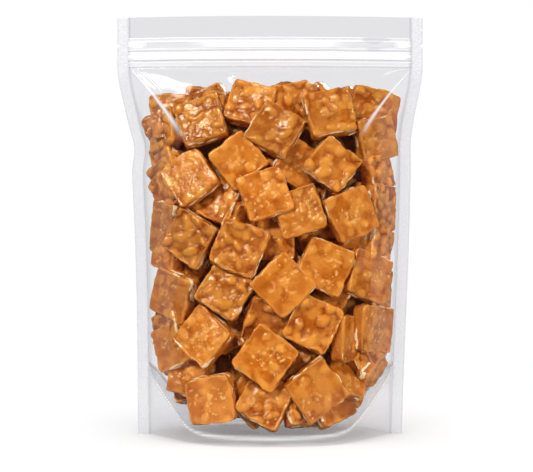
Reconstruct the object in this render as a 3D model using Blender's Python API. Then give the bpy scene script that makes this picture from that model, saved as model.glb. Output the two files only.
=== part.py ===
"""Peanut brittle in a clear stand-up pouch.

The pouch has a zip under a plain header, two side seals and a round bottom gusset, and square
tablets of brittle fill it.  Metres, +Z up.  The front faces -Y, and the origin is at the middle of
the bottom edge.
"""

import math
from collections import namedtuple

import bmesh
import bpy
import numpy as np

# ---------------------------------------------------------------- driving dimensions, in metres

POUCH_HEIGHT = 0.245
FLAT_HALF_WIDTH = 0.090        # of the empty pouch, out to the seals' outer edges
SEAL_WIDTH = 0.0065            # side seals, where front film is welded to back film
SEAL_THICKNESS = 0.001
FIT_GAP = 0.0003               # between solids that touch
CUT_HALF_DEPTH = 0.060         # of what cuts right through the pouch
SHARP_ANGLE = math.radians(30)  # edges turning more than this stay sharp when shaded

BELLY_DEPTH = 0.0365           # the filled pouch's half depth at its bottom edge
BELLY_LOSS = 0.010             # what it has lost at BELLY_LOSS_HEIGHT
BELLY_LOSS_HEIGHT = 0.155
BELLY_LOSS_POWER = 1.2
SHOULDER_HEIGHT = 0.165        # the belly closes from here
CLOSED_HEIGHT = 0.2152         # to here, just under the zip
SHOULDER_POWER = 0.75          # below 1 for full shoulders
SEAM_DRAW_IN = (1.40, 1.75)    # how far a bulging section draws its seams in, low and high
FULLNESS = (3.1, 0.62)         # exponents of the section: flat in front, round at the seams
FOOT_FULLNESS = 1.35           # in place of the second one at the foot, where the skirts close
FOOT_HEIGHT = 0.035            # up to here
FOOT_POWER = 1.5
PANEL_COLUMNS = 20             # facets of each panel, across and up
PANEL_ROWS = (12, 7, 2)

HEADER_BOW = 0.006             # the header's middle stands this far forward of its corners
HEADER_BOW_START = 0.170
SWAY = 0.0012                  # the filled pouch leans this far to the right at half height
SWAY_POWER = 1.5
PINCH_HEIGHT = 0.168           # of a small dent in the left seam
PINCH_HALF_LENGTH = 0.009
PINCH_DEPTH = 0.0017

GUSSET_LOW = 0.004             # the gusset's curved seal: its height at the middle
GUSSET_RISE = 0.036            # and how much higher it meets the side seals
GUSSET_HALF_SPAN = 0.0715
GUSSET_KNEE = 0.64             # where along its half span the seal turns up
GUSSET_SLOPE = 2.75            # how fast it climbs past the knee
GUSSET_KNEE_ROUNDING = 0.25
GUSSET_ROWS = 4
GUSSET_FLOOR = 0.0012
SKIRT_WALL = 0.0008
BELOW_FLOOR = 0.004            # how far the cut under the gusset starts below the pouch

NOTCH_HEIGHT = 0.2285          # tear notches in the side seals
NOTCH_DEPTH = 0.002
NOTCH_OPENING = 0.0026

ZIP_HALF_LENGTH = 0.0835
ZIP_LOW_RIB = (0.2153, 0.2184)  # heights of the zip's ribs and its closing line
ZIP_LINE = (0.2243, 0.2264)
ZIP_HIGH_RIB = (0.2305, 0.2328)
ZIP_WEB_HALF = 0.0005           # half thicknesses
ZIP_RIB_HALF = 0.0013
ZIP_LINE_HALF = 0.0009
ZIP_STEP = 0.0002               # the slope at each rib's edge

HEAP_TOP = 0.2092              # the heap's outline inside the pouch
HEAP_SHOULDER_DROP = 0.012     # at HEAP_SHOULDER from the middle
HEAP_SHOULDER = 0.080
HEAP_GRID = (14, 12)           # facets of the heap's outline, across and up
CORE_GRID = (8, 8)             # and of its solid core
HEAP_SIDE_WEDGE = 0.003        # empty film beside the heap, at each seam
HEAP_FILM_GAP = 0.0005
CORE_FILM_INSET = 0.0120       # the solid core lies this far under the film
CORE_SIDE_INSET = 0.002
CORE_TOP_INSET = 0.008
CORE_LEAST_HALF_DEPTH = 0.0015

TABLET_SIDE = (0.0255, 0.0290)
TABLET_THICKNESS = (0.0080, 0.0092)
TABLET_EDGE = 0.13             # rounded border of a tablet's faces, as a share of its side
TABLET_EDGE_DROP = 0.0012
LUMP_HEIGHT = {"smooth": 0.0002, "lumpy": 0.0010}
OUTLINE_JITTER = 0.0007
INNER_FACE_SHARE = 0.94        # the hidden face is a little smaller

BACK_TABLETS = 37
GAP_TABLETS = 6                # laid deeper, in the gaps of the front layer
LUMPY_SHARE = 0.55
SEED = 9

CELL = 0.0015                  # of the maps of how far out the heap reaches
MAP_X = np.arange(-0.081, 0.0811, CELL)
MAP_Z = np.arange(0.0, 0.2161, CELL)
SAMPLES = np.linspace(-0.5, 0.5, 7)     # points along a tablet's side where it is tested
CORNERS = [0, 6, 42, 48]                # its corners among those points
LEANS = [(right, up) for right in range(-36, 37, 9) for up in range(-27, 28, 9)]
SHIFTS = [(across, along) for across in (-0.004, 0, 0.004) for along in (-0.004, 0, 0.004)]
NUDGES = [(right, up) for right in (-8, -4, 0, 4, 8) for up in (-8, -4, 0, 4, 8)]
SMALL_SHIFTS = [(across / 2, along / 2) for across, along in SHIFTS]
LEAN_COST = 0.00003            # for each degree
SHIFT_COST = 0.8               # for each metre that a tablet seen in the photo is shifted
SUNK_COST = 2.0                # for each metre past the floor
DEEPEST = 0.004                # a tablet that would sink further past it is left out
TRIES = 16
FILM_GIVE = 0.0008             # a corner may press this far into the film
CORNER_SAMPLES = 13            # so many of a face's 49 points may lie inside other tablets
CORNER_OVERLAP = 0.0072        # by no more than this
EDGE_CLEARANCE = 0.0005        # between a tablet's corners and the seams and gusset
LEAN_SPAN = 0.010              # the film's lean is read this far to each side
STEEPEST = 36                  # a tablet at the seams turns no further to follow the film
LEAST_FACING = 0.4             # limits how thick a tablet seen from its edge counts
SOLVE_STEPS = 12
WEDGE_STEP = 0.99              # a piece that doesn't fit beside a seam moves in by such steps
WEDGE_FORWARD = 0.6            # and lies this share of its free way forward

# How the front was read: the pouch's middle column, the row at eye height, pixels per metre at
# the pouch's middle plane, and where the eye stands.
MIDDLE_COLUMN = 270
EYE_ROW = 236
PIXELS_PER_METRE = 1696
EYE_HEIGHT = 0.1165
EYE_DISTANCE = 0.600

# The tablets seen through the front, the foremost first.  turn is clockwise in degrees.  lean is
# how far the tablet's face turns to the right and up from the film, or None where it settles
# against the film and the tablets in front of it by itself.
Seen = namedtuple("Seen", "column row turn side look lean")
SEEN_TABLETS = [
    Seen(283, 285, 45, 0.0280, "smooth", (0, 0)),
    Seen(265, 358, 35, 0.0290, "smooth", (0, 0)),
    Seen(316, 390, -38, 0.0280, "smooth", (0, 0)),
    Seen(265, 194, -18, 0.0275, "smooth", (-5, -3)),
    Seen(332, 165, 40, 0.0255, "lumpy", (6, 12)),
    Seen(190, 178, -35, 0.0270, "smooth", (8, 0)),
    Seen(239, 248, 22, 0.0285, "lumpy", (0, 0)),
    Seen(275, 130, 31, 0.0270, "lumpy", (8, 10)),
    Seen(330, 113, -10, 0.0280, "lumpy", (-4, 3)),
    Seen(351, 214, -23, 0.0272, "smooth", (-6, 2)),
    Seen(379, 138, -13, 0.0250, "smooth", (-10, 0)),
    Seen(190, 238, 30, 0.0272, "lumpy", (5, 2)),
    Seen(211, 405, -10, 0.0272, "smooth", (-3, -3)),
    Seen(203, 337, 38, 0.0272, "smooth", (4, 0)),
    Seen(201, 121, -18, 0.0265, "lumpy", (0, 6)),
    Seen(325, 267, 23, 0.0280, "smooth", (-8, -6)),
    Seen(169, 295, 20, 0.0275, "smooth", (6, 0)),
    Seen(368, 277, 18, 0.0275, "smooth", (-6, 0)),
    Seen(313, 324, 27, 0.0278, "lumpy", None),
    Seen(235, 160, -39, 0.0260, "smooth", (-3, -10)),
    Seen(222, 291, 31, 0.0270, "lumpy", (12, 16)),
    Seen(303, 208, -16, 0.0265, "smooth", (-15, 0)),
    Seen(250, 104, 17, 0.0260, "lumpy", (-12, 4)),
    Seen(371, 103, 12, 0.0255, "lumpy", None),
    Seen(172, 115, -3, 0.0260, "lumpy", None),
    Seen(265, 405, 28, 0.0275, "lumpy", (8, 14)),
    Seen(160, 234, 15, 0.0272, "smooth", None),
    Seen(158, 178, -30, 0.0275, "lumpy", None),
    Seen(374, 330, 8, 0.0270, "smooth", (0, 0)),
    Seen(175, 346, -27, 0.0265, "smooth", None),
    Seen(350, 340, 5, 0.0265, "smooth", (40, 6)),
    Seen(293, 103, -10, 0.0255, "lumpy", None),
    Seen(365, 238, 25, 0.0260, "lumpy", None),
    Seen(386, 213, 5, 0.0275, "lumpy", None),
    Seen(346, 378, 25, 0.0260, "smooth", None),
    Seen(372, 368, -40, 0.0265, "smooth", None),
    Seen(253, 421, 42, 0.0265, "smooth", None),
    Seen(190, 381, 10, 0.0260, "smooth", None),
    Seen(386, 172, -20, 0.0260, "lumpy", None),
    Seen(330, 418, -15, 0.0265, "smooth", None),
    Seen(153, 132, -15, 0.0265, "lumpy", None),
    Seen(165, 375, -25, 0.0265, "lumpy", None),
    Seen(303, 420, 5, 0.0258, "lumpy", None),
    Seen(353, 408, -30, 0.0258, "lumpy", None),
    Seen(218, 200, 20, 0.0265, "lumpy", None),
    Seen(298, 165, 30, 0.0265, "smooth", None),
    Seen(267, 322, 15, 0.0262, "lumpy", None),
    Seen(367, 185, 35, 0.0260, "lumpy", None),
    Seen(184, 400, -20, 0.0260, "lumpy", None),
    Seen(170, 146, -5, 0.0255, "lumpy", None),
    Seen(185, 268, 30, 0.0262, "lumpy", None),
    Seen(232, 328, -30, 0.0262, "lumpy", None),
    Seen(272, 238, 0, 0.0262, "lumpy", None),
    Seen(205, 108, 10, 0.0258, "lumpy", None),
    Seen(213, 372, -20, 0.0258, "smooth", None),
    Seen(240, 388, 30, 0.0260, "lumpy", None),
]

# Smaller pieces in the narrow space beside the seams.  Here lean is measured from straight ahead.
BESIDE_SEAMS = [
    Seen(150, 131, -15, 0.0240, "lumpy", (-50, 5)),
    Seen(150, 160, -25, 0.0230, "lumpy", (-55, 0)),
    Seen(151, 190, -30, 0.0240, "lumpy", (-48, -5)),
    Seen(150, 222, 12, 0.0240, "smooth", (-55, 0)),
    Seen(151, 250, 10, 0.0230, "smooth", (-50, 0)),
    Seen(157, 326, 10, 0.0230, "lumpy", (-50, 0)),
    Seen(156, 358, -20, 0.0240, "lumpy", (-52, 0)),
    Seen(166, 388, -30, 0.0220, "lumpy", (-45, 0)),
    Seen(386, 172, -20, 0.0230, "lumpy", (52, 0)),
    Seen(388, 205, 3, 0.0240, "lumpy", (55, 0)),
    Seen(386, 245, 15, 0.0230, "lumpy", (55, 0)),
    Seen(389, 288, 8, 0.0240, "lumpy", (60, 0)),
    Seen(384, 358, -35, 0.0230, "lumpy", (50, 10)),
    Seen(368, 392, -35, 0.0230, "lumpy", (45, 10)),
]

FINISHES = {                   # colour, then roughness
    "film": ((0.78, 0.78, 0.79, 1.0), 0.12),
    "zip": ((0.93, 0.93, 0.94, 1.0), 0.35),
    "brittle": ((0.58, 0.20, 0.045, 1.0), 0.30),
}

# ---------------------------------------------------------------- the filled pouch's form


def belly(z):
    """Half depth of the pouch on its centre line."""
    loss = BELLY_LOSS * np.clip(z / BELLY_LOSS_HEIGHT, 0, 1) ** BELLY_LOSS_POWER
    closing = np.clip((CLOSED_HEIGHT - z) / (CLOSED_HEIGHT - SHOULDER_HEIGHT), 0, 1)
    return (BELLY_DEPTH - loss) * np.sin(math.pi / 2 * closing) ** SHOULDER_POWER


def half_chord(z):
    """Half the width between the side seals, drawn in where the belly is deep."""
    low, high = SEAM_DRAW_IN
    draw_in = low + (high - low) * np.clip(z / BELLY_LOSS_HEIGHT, 0, 1)
    return np.sqrt((FLAT_HALF_WIDTH - SEAL_WIDTH) ** 2 - draw_in * belly(z) ** 2)


def bulge(x, z):
    """How far each panel stands out from the plane of the seals."""
    reach = np.clip(np.abs(x) / half_chord(z), 0, 1)
    at_foot = np.clip(1 - z / FOOT_HEIGHT, 0, 1) ** FOOT_POWER
    roundness = FULLNESS[1] + (FOOT_FULLNESS - FULLNESS[1]) * at_foot
    return belly(z) * (1 - reach ** FULLNESS[0]) ** roundness


def bow(x, z):
    """How far the header, which curves from corner to corner, stands forward."""
    rise = np.clip((z - HEADER_BOW_START) / (POUCH_HEIGHT - HEADER_BOW_START), 0, 1)
    return HEADER_BOW * (1 - (x / FLAT_HALF_WIDTH) ** 2) * rise * rise * (3 - 2 * rise)


def gusset_line(x):
    """Height of the gusset's curved seal."""
    along = GUSSET_SLOPE * (np.abs(x) / GUSSET_HALF_SPAN - GUSSET_KNEE)
    rounded = np.sqrt(along ** 2 + GUSSET_KNEE_ROUNDING ** 2)
    return GUSSET_LOW + GUSSET_RISE / 2 * (along + rounded)


def heap_top(x):
    return HEAP_TOP - HEAP_SHOULDER_DROP * (np.abs(x) / HEAP_SHOULDER) ** 4


def left_pinch(x, z):
    """How far a point moves in at the pinch in the left seam."""
    near = np.exp(-((z - PINCH_HEIGHT) / PINCH_HALF_LENGTH) ** 2)
    return PINCH_DEPTH * near * np.clip(-x / half_chord(z), 0, 1) ** 3


def sway(z):
    return SWAY * np.sin(math.pi * np.clip(z / CLOSED_HEIGHT, 0, 1)) ** SWAY_POWER


# ---------------------------------------------------------------- mesh helpers


def clear_scene():
    for leftover in list(bpy.data.objects):
        bpy.data.objects.remove(leftover, do_unlink=True)


def material(name):
    colour, roughness = FINISHES[name]
    made = bpy.data.materials.new(name)
    made.use_nodes = True
    shader = made.node_tree.nodes["Principled BSDF"]
    shader.inputs["Base Color"].default_value = colour
    shader.inputs["Roughness"].default_value = roughness
    shader.inputs["Metallic"].default_value = 0.0
    return made


def mesh_object(name, points, faces, collection=None):
    mesh = bpy.data.meshes.new(name)
    mesh.from_pydata([tuple(point) for point in points], [], faces)
    mesh.update()
    made = bpy.data.objects.new(name, mesh)
    (collection or bpy.context.scene.collection).objects.link(made)
    return made


def slab(name, x, z, front, back):
    """A closed solid between two sheets given as grids: x and z, and the y of each sheet."""
    rows, columns = x.shape
    points = np.concatenate([
        np.stack([x, front, z], axis=-1).reshape(-1, 3),
        np.stack([x, back, z], axis=-1).reshape(-1, 3),
    ])
    ahead = np.arange(rows * columns).reshape(rows, columns)
    behind = ahead + rows * columns
    strips = [
        (ahead[:-1, :-1], ahead[:-1, 1:], ahead[1:, 1:], ahead[1:, :-1]),
        (behind[:-1, :-1], behind[1:, :-1], behind[1:, 1:], behind[:-1, 1:]),
        (ahead[0, :-1], behind[0, :-1], behind[0, 1:], ahead[0, 1:]),
        (ahead[-1, :-1], ahead[-1, 1:], behind[-1, 1:], behind[-1, :-1]),
        (ahead[:-1, 0], ahead[1:, 0], behind[1:, 0], behind[:-1, 0]),
        (ahead[:-1, -1], behind[:-1, -1], behind[1:, -1], ahead[1:, -1]),
    ]
    faces = []
    for corners in strips:
        for a, b, c, d in zip(*(corner.ravel().tolist() for corner in corners)):
            faces += [(a, b, c), (a, c, d)]
    return mesh_object(name, points, faces)


def prism(name, outline, half_depth):
    """An outline of (x, z) points, counter-clockwise from the front, run through along Y."""
    count = len(outline)
    points = [(x, -half_depth, z) for x, z in outline] + [(x, half_depth, z) for x, z in outline]
    faces = [tuple(range(count)), tuple(range(2 * count - 1, count - 1, -1))]
    for near in range(count):
        far = (near + 1) % count
        faces.append((near, near + count, far + count, far))
    return mesh_object(name, points, faces)


def combine(body, operation, other):
    """Apply a Boolean with an object or a collection, which is then removed."""
    modifier = body.modifiers.new(operation.title(), "BOOLEAN")
    modifier.operation = operation
    modifier.solver = "EXACT"
    if isinstance(other, bpy.types.Collection):
        modifier.operand_type = "COLLECTION"
        modifier.collection = other
        spent = list(other.objects)
    else:
        modifier.object = other
        spent = [other]
    bpy.context.view_layer.update()
    evaluated = body.evaluated_get(bpy.context.evaluated_depsgraph_get())
    result = bpy.data.meshes.new_from_object(evaluated)
    body.modifiers.clear()
    body.data = result
    for tool in spent:
        bpy.data.objects.remove(tool, do_unlink=True)
    if isinstance(other, bpy.types.Collection):
        bpy.data.collections.remove(other)


def keep_largest_piece(body):
    """Drop loose scraps and the walls of hollows that fusing has sealed."""
    work = bmesh.new()
    work.from_mesh(body.data)
    bmesh.ops.triangulate(work, faces=work.faces)
    unseen = set(work.verts)
    pieces = []
    while unseen:
        piece = {unseen.pop()}
        edge = set(piece)
        while edge:
            edge = {link.other_vert(point) for point in edge for link in point.link_edges}
            edge &= unseen
            unseen -= edge
            piece |= edge
        pieces.append(piece)
    largest = max(pieces, key=len)
    bmesh.ops.delete(work, geom=[v for v in work.verts if v not in largest], context="VERTS")
    work.to_mesh(body.data)
    work.free()


def finish(body, slot):
    """Lean the solid as the filled pouch leans, and give it its material."""
    count = len(body.data.vertices)
    points = np.empty(count * 3)
    body.data.vertices.foreach_get("co", points)
    points = points.reshape(-1, 3)
    points[:, 0] += sway(points[:, 2])
    body.data.vertices.foreach_set("co", points.ravel())
    body.data.shade_smooth()
    body.data.set_sharp_from_angle(angle=SHARP_ANGLE)
    body.data.update()
    body.data.materials.clear()
    body.data.materials.append(material(slot))


# ---------------------------------------------------------------- the pouch


def bunched(columns):
    """Lines from -1 to 1 that lie closer together toward the seams."""
    return np.sin(np.linspace(-1, 1, columns + 1) * math.pi / 2)


def heap_grid(margin, top_margin, facets=HEAP_GRID):
    """A grid over the heap's front outline, drawn in by margin, and by top_margin at its top."""
    columns, rows = facets
    across, up = np.meshgrid(bunched(columns), np.linspace(0, 1, rows + 1))
    z = HEAP_TOP * up
    for _ in range(SOLVE_STEPS):
        x = across * (half_chord(z) - HEAP_SIDE_WEDGE - margin)
        low = gusset_line(x) + margin
        z = low + (heap_top(x) - top_margin - low) * up
    return x, z


def heap_outline(margin):
    x, z = heap_grid(margin, margin)
    edge = [(0, slice(None)), (slice(1, None), -1), (-1, slice(-2, None, -1)),
            (slice(-2, 0, -1), 0)]
    return [point for part in edge for point in zip(x[part].tolist(), z[part].tolist())]


def pouch_envelope():
    marks = (0, SHOULDER_HEIGHT, CLOSED_HEIGHT, POUCH_HEIGHT)
    heights = [0.0]
    for low, high, rows in zip(marks, marks[1:], PANEL_ROWS):
        heights += np.linspace(low, high, rows + 1)[1:].tolist()
    across, z = np.meshgrid(bunched(PANEL_COLUMNS), heights)
    x = across * half_chord(z)
    out = x[:, -1:] + SEAL_WIDTH
    x = np.concatenate([-out, x, out], axis=1)
    z = np.concatenate([z[:, :1], z, z[:, -1:]], axis=1)
    forward = bow(x, z)
    half = SEAL_THICKNESS / 2 + bulge(x, z)
    return slab("pouch", x + left_pinch(x, z), z, -half - forward, half - forward)


def gusset_hollow():
    """The space below the gusset, between the two skirts."""
    half_span = half_chord(0.0) - HEAP_SIDE_WEDGE - SKIRT_WALL
    x, up = np.meshgrid(half_span * bunched(PANEL_COLUMNS), np.linspace(0, 1, GUSSET_ROWS + 1))
    top = gusset_line(x) - GUSSET_FLOOR
    z = (top + BELOW_FLOOR) * up - BELOW_FLOOR
    half = bulge(x, np.maximum(z, 0)) + SEAL_THICKNESS / 2 - SKIRT_WALL
    return slab("hollow", x, z, -half, half)


def tear_notch(side):
    tip, past_edge = FLAT_HALF_WIDTH - NOTCH_DEPTH, FLAT_HALF_WIDTH + NOTCH_DEPTH
    outline = [(side * tip, NOTCH_HEIGHT), (side * past_edge, NOTCH_HEIGHT - NOTCH_OPENING),
               (side * past_edge, NOTCH_HEIGHT + NOTCH_OPENING)]
    return prism("notch", outline if side > 0 else outline[::-1], CUT_HALF_DEPTH)


def make_pouch():
    pouch = pouch_envelope()
    combine(pouch, "DIFFERENCE", prism("heap space", heap_outline(0.0), CUT_HALF_DEPTH))
    combine(pouch, "DIFFERENCE", gusset_hollow())
    zip_low, zip_high = ZIP_LOW_RIB[0] - FIT_GAP, ZIP_HIGH_RIB[1] + FIT_GAP
    half = ZIP_HALF_LENGTH + FIT_GAP
    window = [(-half, zip_low), (half, zip_low), (half, zip_high), (-half, zip_high)]
    combine(pouch, "DIFFERENCE", prism("zip window", window, CUT_HALF_DEPTH))
    for side in (-1, 1):
        combine(pouch, "DIFFERENCE", tear_notch(side))
    keep_largest_piece(pouch)
    finish(pouch, "film")


def make_zip():
    """The closed zip: a web with a rib at each edge and the closing line between them."""
    profile = []
    ribs = ((ZIP_LOW_RIB, ZIP_RIB_HALF), (ZIP_LINE, ZIP_LINE_HALF), (ZIP_HIGH_RIB, ZIP_RIB_HALF))
    for (low, high), half in ribs:
        profile += [(low - ZIP_STEP, ZIP_WEB_HALF), (low, half), (high, half),
                    (high + ZIP_STEP, ZIP_WEB_HALF)]
    profile = profile[1:-1]
    heights, halves = np.array(profile).T
    x, z = np.meshgrid(np.linspace(-ZIP_HALF_LENGTH, ZIP_HALF_LENGTH, 15), heights)
    half = np.repeat(halves[:, None], x.shape[1], axis=1)
    forward = bow(x, z)
    closed_zip = slab("zip", x, z, -half - forward, half - forward)
    finish(closed_zip, "zip")


# ---------------------------------------------------------------- laying the tablets

Laid = namedtuple("Laid", "centre right up out side thickness look")


def film_reach(x, z, facing):
    """How far out the film lies; facing is 1 for the front and -1 for the back."""
    return bulge(x, z) + facing * bow(x, z) - HEAP_FILM_GAP


def film_lean(x, z, facing):
    """How far a tablet lying under the film there faces right and up, in degrees."""
    across = film_reach(x + LEAN_SPAN, z, facing) - film_reach(x - LEAN_SPAN, z, facing)
    along = film_reach(x, z + LEAN_SPAN, facing) - film_reach(x, z - LEAN_SPAN, facing)
    yaw = np.arctan(-across / (2 * LEAN_SPAN))
    pitch = np.arctan(-along / (2 * LEAN_SPAN) * np.cos(yaw))
    return np.clip(np.degrees(yaw), -STEEPEST, STEEPEST), np.degrees(pitch)


def tablet_axes(turn, to_right, upward):
    """A tablet's right, up and outward directions for each lean, from degrees."""
    yaw, pitch, spin = np.radians(to_right), np.radians(upward), np.radians(-turn)
    flat = np.zeros_like(yaw)
    out = np.stack([np.sin(yaw) * np.cos(pitch), np.cos(yaw) * np.cos(pitch), np.sin(pitch)], -1)
    level = np.stack([np.cos(yaw), -np.sin(yaw), flat], -1)
    rise = np.stack([-np.sin(yaw) * np.sin(pitch), -np.cos(yaw) * np.sin(pitch), np.cos(pitch)],
                    -1)
    return (level * np.cos(spin) + rise * np.sin(spin),
            rise * np.cos(spin) - level * np.sin(spin), out)


def keep_inside(x, z, corners):
    """Shift a tablet's middle until its corners clear the seams, the gusset and the heap's top."""
    low = gusset_line(x[:, None] + corners[..., 0]) + EDGE_CLEARANCE - corners[..., 2]
    high = heap_top(x[:, None] + corners[..., 0]) - corners[..., 2]
    z = np.minimum(np.maximum(z, low.max(axis=1)), high.min(axis=1))
    side = half_chord(z[:, None] + corners[..., 2]) - EDGE_CLEARANCE
    x = np.minimum(np.maximum(x, (-side - corners[..., 0]).max(axis=1)),
                   (side - corners[..., 0]).min(axis=1))
    return x, z


def read_map(heights, x, z):
    """A map's value between its cells."""
    column = np.clip((x - MAP_X[0]) / CELL, 0, len(MAP_X) - 1.001)
    row = np.clip((z - MAP_Z[0]) / CELL, 0, len(MAP_Z) - 1.001)
    i, j = row.astype(int), column.astype(int)
    v, u = row - i, column - j
    low = heights[i, j] * (1 - u) + heights[i, j + 1] * u
    high = heights[i + 1, j] * (1 - u) + heights[i + 1, j + 1] * u
    return low * (1 - v) + high * v


class HeapSide:
    """One side of the heap while it is laid, seen from outside: x right, w outwards and z up.

    The ceiling is how far out a tablet may reach at each place.  It starts as the film, and each
    tablet laid lowers it to that tablet's inner face, so that the next ones slip behind.  The
    floor is how far in a tablet may reach: to the film on the far side, or the tablets there.
    """

    def __init__(self, facing, floor=None):
        x, z = np.meshgrid(MAP_X, MAP_Z)
        self.facing = facing
        self.ceiling = film_reach(x, z, facing)
        self.floor = -film_reach(x, z, -facing) if floor is None else floor
        self.laid = []

    def settle(self, x, z, turn, side, thickness, look, leans=LEANS, shifts=((0, 0),)):
        """The pose that brings the tablet furthest out, what speaks against it and how far it
        then reaches through the floor.
        """
        film_yaw, film_pitch = film_lean(x, z, self.facing)
        leans, shifts = (np.array(choice, dtype=float) for choice in zip(
            *((lean, shift) for lean in leans for shift in shifts)))
        x, z = x + shifts[:, 0], z + shifts[:, 1]
        right, up, out = (axis[:, None] for axis in tablet_axes(
            turn, film_yaw + leans[:, 0], film_pitch + leans[:, 1]))
        u, v = (grid.reshape(-1, 1) * side for grid in np.meshgrid(SAMPLES, SAMPLES))
        face = u * right + v * up + out * thickness / 2
        inner = face - out * thickness
        corners = np.concatenate([face[:, CORNERS], inner[:, CORNERS]], axis=1)
        x, z = keep_inside(x, z, corners)
        face_at = x[:, None] + face[..., 0], z[:, None] + face[..., 2]
        inner_at = x[:, None] + inner[..., 0], z[:, None] + inner[..., 2]
        under_film = film_reach(*face_at, self.facing) - face[..., 1]
        under_tablets = np.sort(read_map(self.ceiling, *face_at) - face[..., 1], axis=1)
        middle = np.minimum.reduce([under_film.min(axis=1) + FILM_GIVE,
                                    under_tablets[:, CORNER_SAMPLES],
                                    under_tablets[:, 0] + CORNER_OVERLAP])
        sunk = np.maximum(
            (read_map(self.floor, *inner_at) - inner[..., 1]).max(axis=1),
            (read_map(self.floor, *face_at) - face[..., 1]).max(axis=1)) - middle
        cost = (film_reach(x, z, self.facing) - middle
                + LEAN_COST * np.abs(leans).sum(axis=1)
                + SHIFT_COST * np.abs(shifts).sum(axis=1)
                + SUNK_COST * np.maximum(sunk - FILM_GIVE, 0))
        best = cost.argmin()
        centre = np.array([x[best], middle[best], z[best]])
        axes = (axis[best, 0] for axis in (right, up, out))
        return cost[best], sunk[best], Laid(centre, *axes, side, thickness, look)

    def lay(self, tablet):
        """Keep a tablet, and lower the ceiling to its inner face everywhere behind it."""
        x, z = np.meshgrid(MAP_X, MAP_Z)
        across, along = x - tablet.centre[0], z - tablet.centre[2]
        middle = -(across * tablet.out[0] + along * tablet.out[2]) / tablet.out[1]
        offset = np.stack([across, middle, along], axis=-1)
        reach = tablet.side / 2 + CELL / 3
        behind = (np.abs(offset @ tablet.right) < reach) & (np.abs(offset @ tablet.up) < reach)
        inner = tablet.centre[1] + middle - tablet.thickness / 2 / max(tablet.out[1], LEAST_FACING)
        self.ceiling[behind] = np.minimum(self.ceiling, inner)[behind]
        self.laid.append(tablet)

    def place(self, seen, share=1.0):
        """Where a tablet in the photo lies, given that it is just under the film, or that share
        of the way out to there.
        """
        x, z = 0.0, EYE_HEIGHT
        for _ in range(SOLVE_STEPS):
            depth = share * (film_reach(x, z, self.facing) - TABLET_THICKNESS[0] / 2)
            scale = PIXELS_PER_METRE * EYE_DISTANCE / (EYE_DISTANCE - depth)
            x = (seen.column - MIDDLE_COLUMN) / scale - sway(z)
            z = EYE_HEIGHT - (seen.row - EYE_ROW) / scale
        return x, z

    def lay_seen(self, tablets, draw):
        for seen in tablets:
            x, z = self.place(seen)
            tablet = x, z, seen.turn, seen.side, draw.uniform(*TABLET_THICKNESS), seen.look
            leans, shifts = LEANS, SHIFTS
            if seen.lean is not None:
                leans = [(seen.lean[0] + right, seen.lean[1] + up) for right, up in NUDGES]
                shifts = SMALL_SHIFTS
            _, sunk, laid = self.settle(*tablet, leans, shifts)
            if sunk < DEEPEST:
                self.lay(laid)

    def lay_beside_seams(self, pieces, draw):
        """Wedge pieces between the two films, as near the seam as there is room for them."""
        for seen in pieces:
            x, z = self.place(seen, 0.0)
            thickness = draw.uniform(*TABLET_THICKNESS)
            lean = (np.array([float(degrees)]) for degrees in seen.lean)
            right, up, out = (axis[:, None] for axis in tablet_axes(seen.turn, *lean))
            u, v = (grid.reshape(-1, 1) * seen.side for grid in np.meshgrid(SAMPLES, SAMPLES))
            face = u * right + v * up + out * thickness / 2
            inner = face - out * thickness
            corners = np.concatenate([face[:, CORNERS], inner[:, CORNERS]], axis=1)
            room = -1.0
            while room < 0:
                x, z = keep_inside(np.atleast_1d(x), np.atleast_1d(z), corners)
                ahead = (film_reach(x + face[..., 0], z + face[..., 2], self.facing)
                         - face[..., 1]).min()
                behind = (-film_reach(x + inner[..., 0], z + inner[..., 2], -self.facing)
                          - inner[..., 1]).max()
                room = ahead - behind
                x = x * WEDGE_STEP
            centre = np.array([x[0], behind + room * WEDGE_FORWARD, z[0]])
            axes = (axis[0, 0] for axis in (right, up, out))
            self.lay(Laid(centre, *axes, seen.side, thickness, seen.look))

    def lay_unseen(self, count, draw):
        """Lay tablets at random turns, each the one of some tries that comes nearest the film."""
        for _ in range(count):
            tries = []
            while len(tries) < TRIES:
                z = draw.uniform(0, HEAP_TOP)
                x = draw.uniform(-1, 1) * half_chord(z)
                size = draw.uniform(*TABLET_SIDE), draw.uniform(*TABLET_THICKNESS)
                look = "lumpy" if draw.random() < LUMPY_SHARE else "smooth"
                tries.append(self.settle(x, z, draw.uniform(-45, 45), *size, look))
            self.lay(min(tries, key=lambda attempt: attempt[0])[-1])


def to_world(vector, facing):
    """From one side's right, outwards and up to the pouch's x, y and z."""
    return np.stack([vector[..., 0] * facing, -vector[..., 1] * facing, vector[..., 2]], axis=-1)


def lay_heap(draw):
    front = HeapSide(1)
    front.lay_seen(SEEN_TABLETS, draw)
    front.lay_beside_seams(BESIDE_SEAMS, draw)
    front.lay_unseen(GAP_TABLETS, draw)
    back = HeapSide(-1, floor=-front.ceiling[:, ::-1])
    back.lay_unseen(BACK_TABLETS, draw)
    return front, back


# ---------------------------------------------------------------- the brittle


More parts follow.
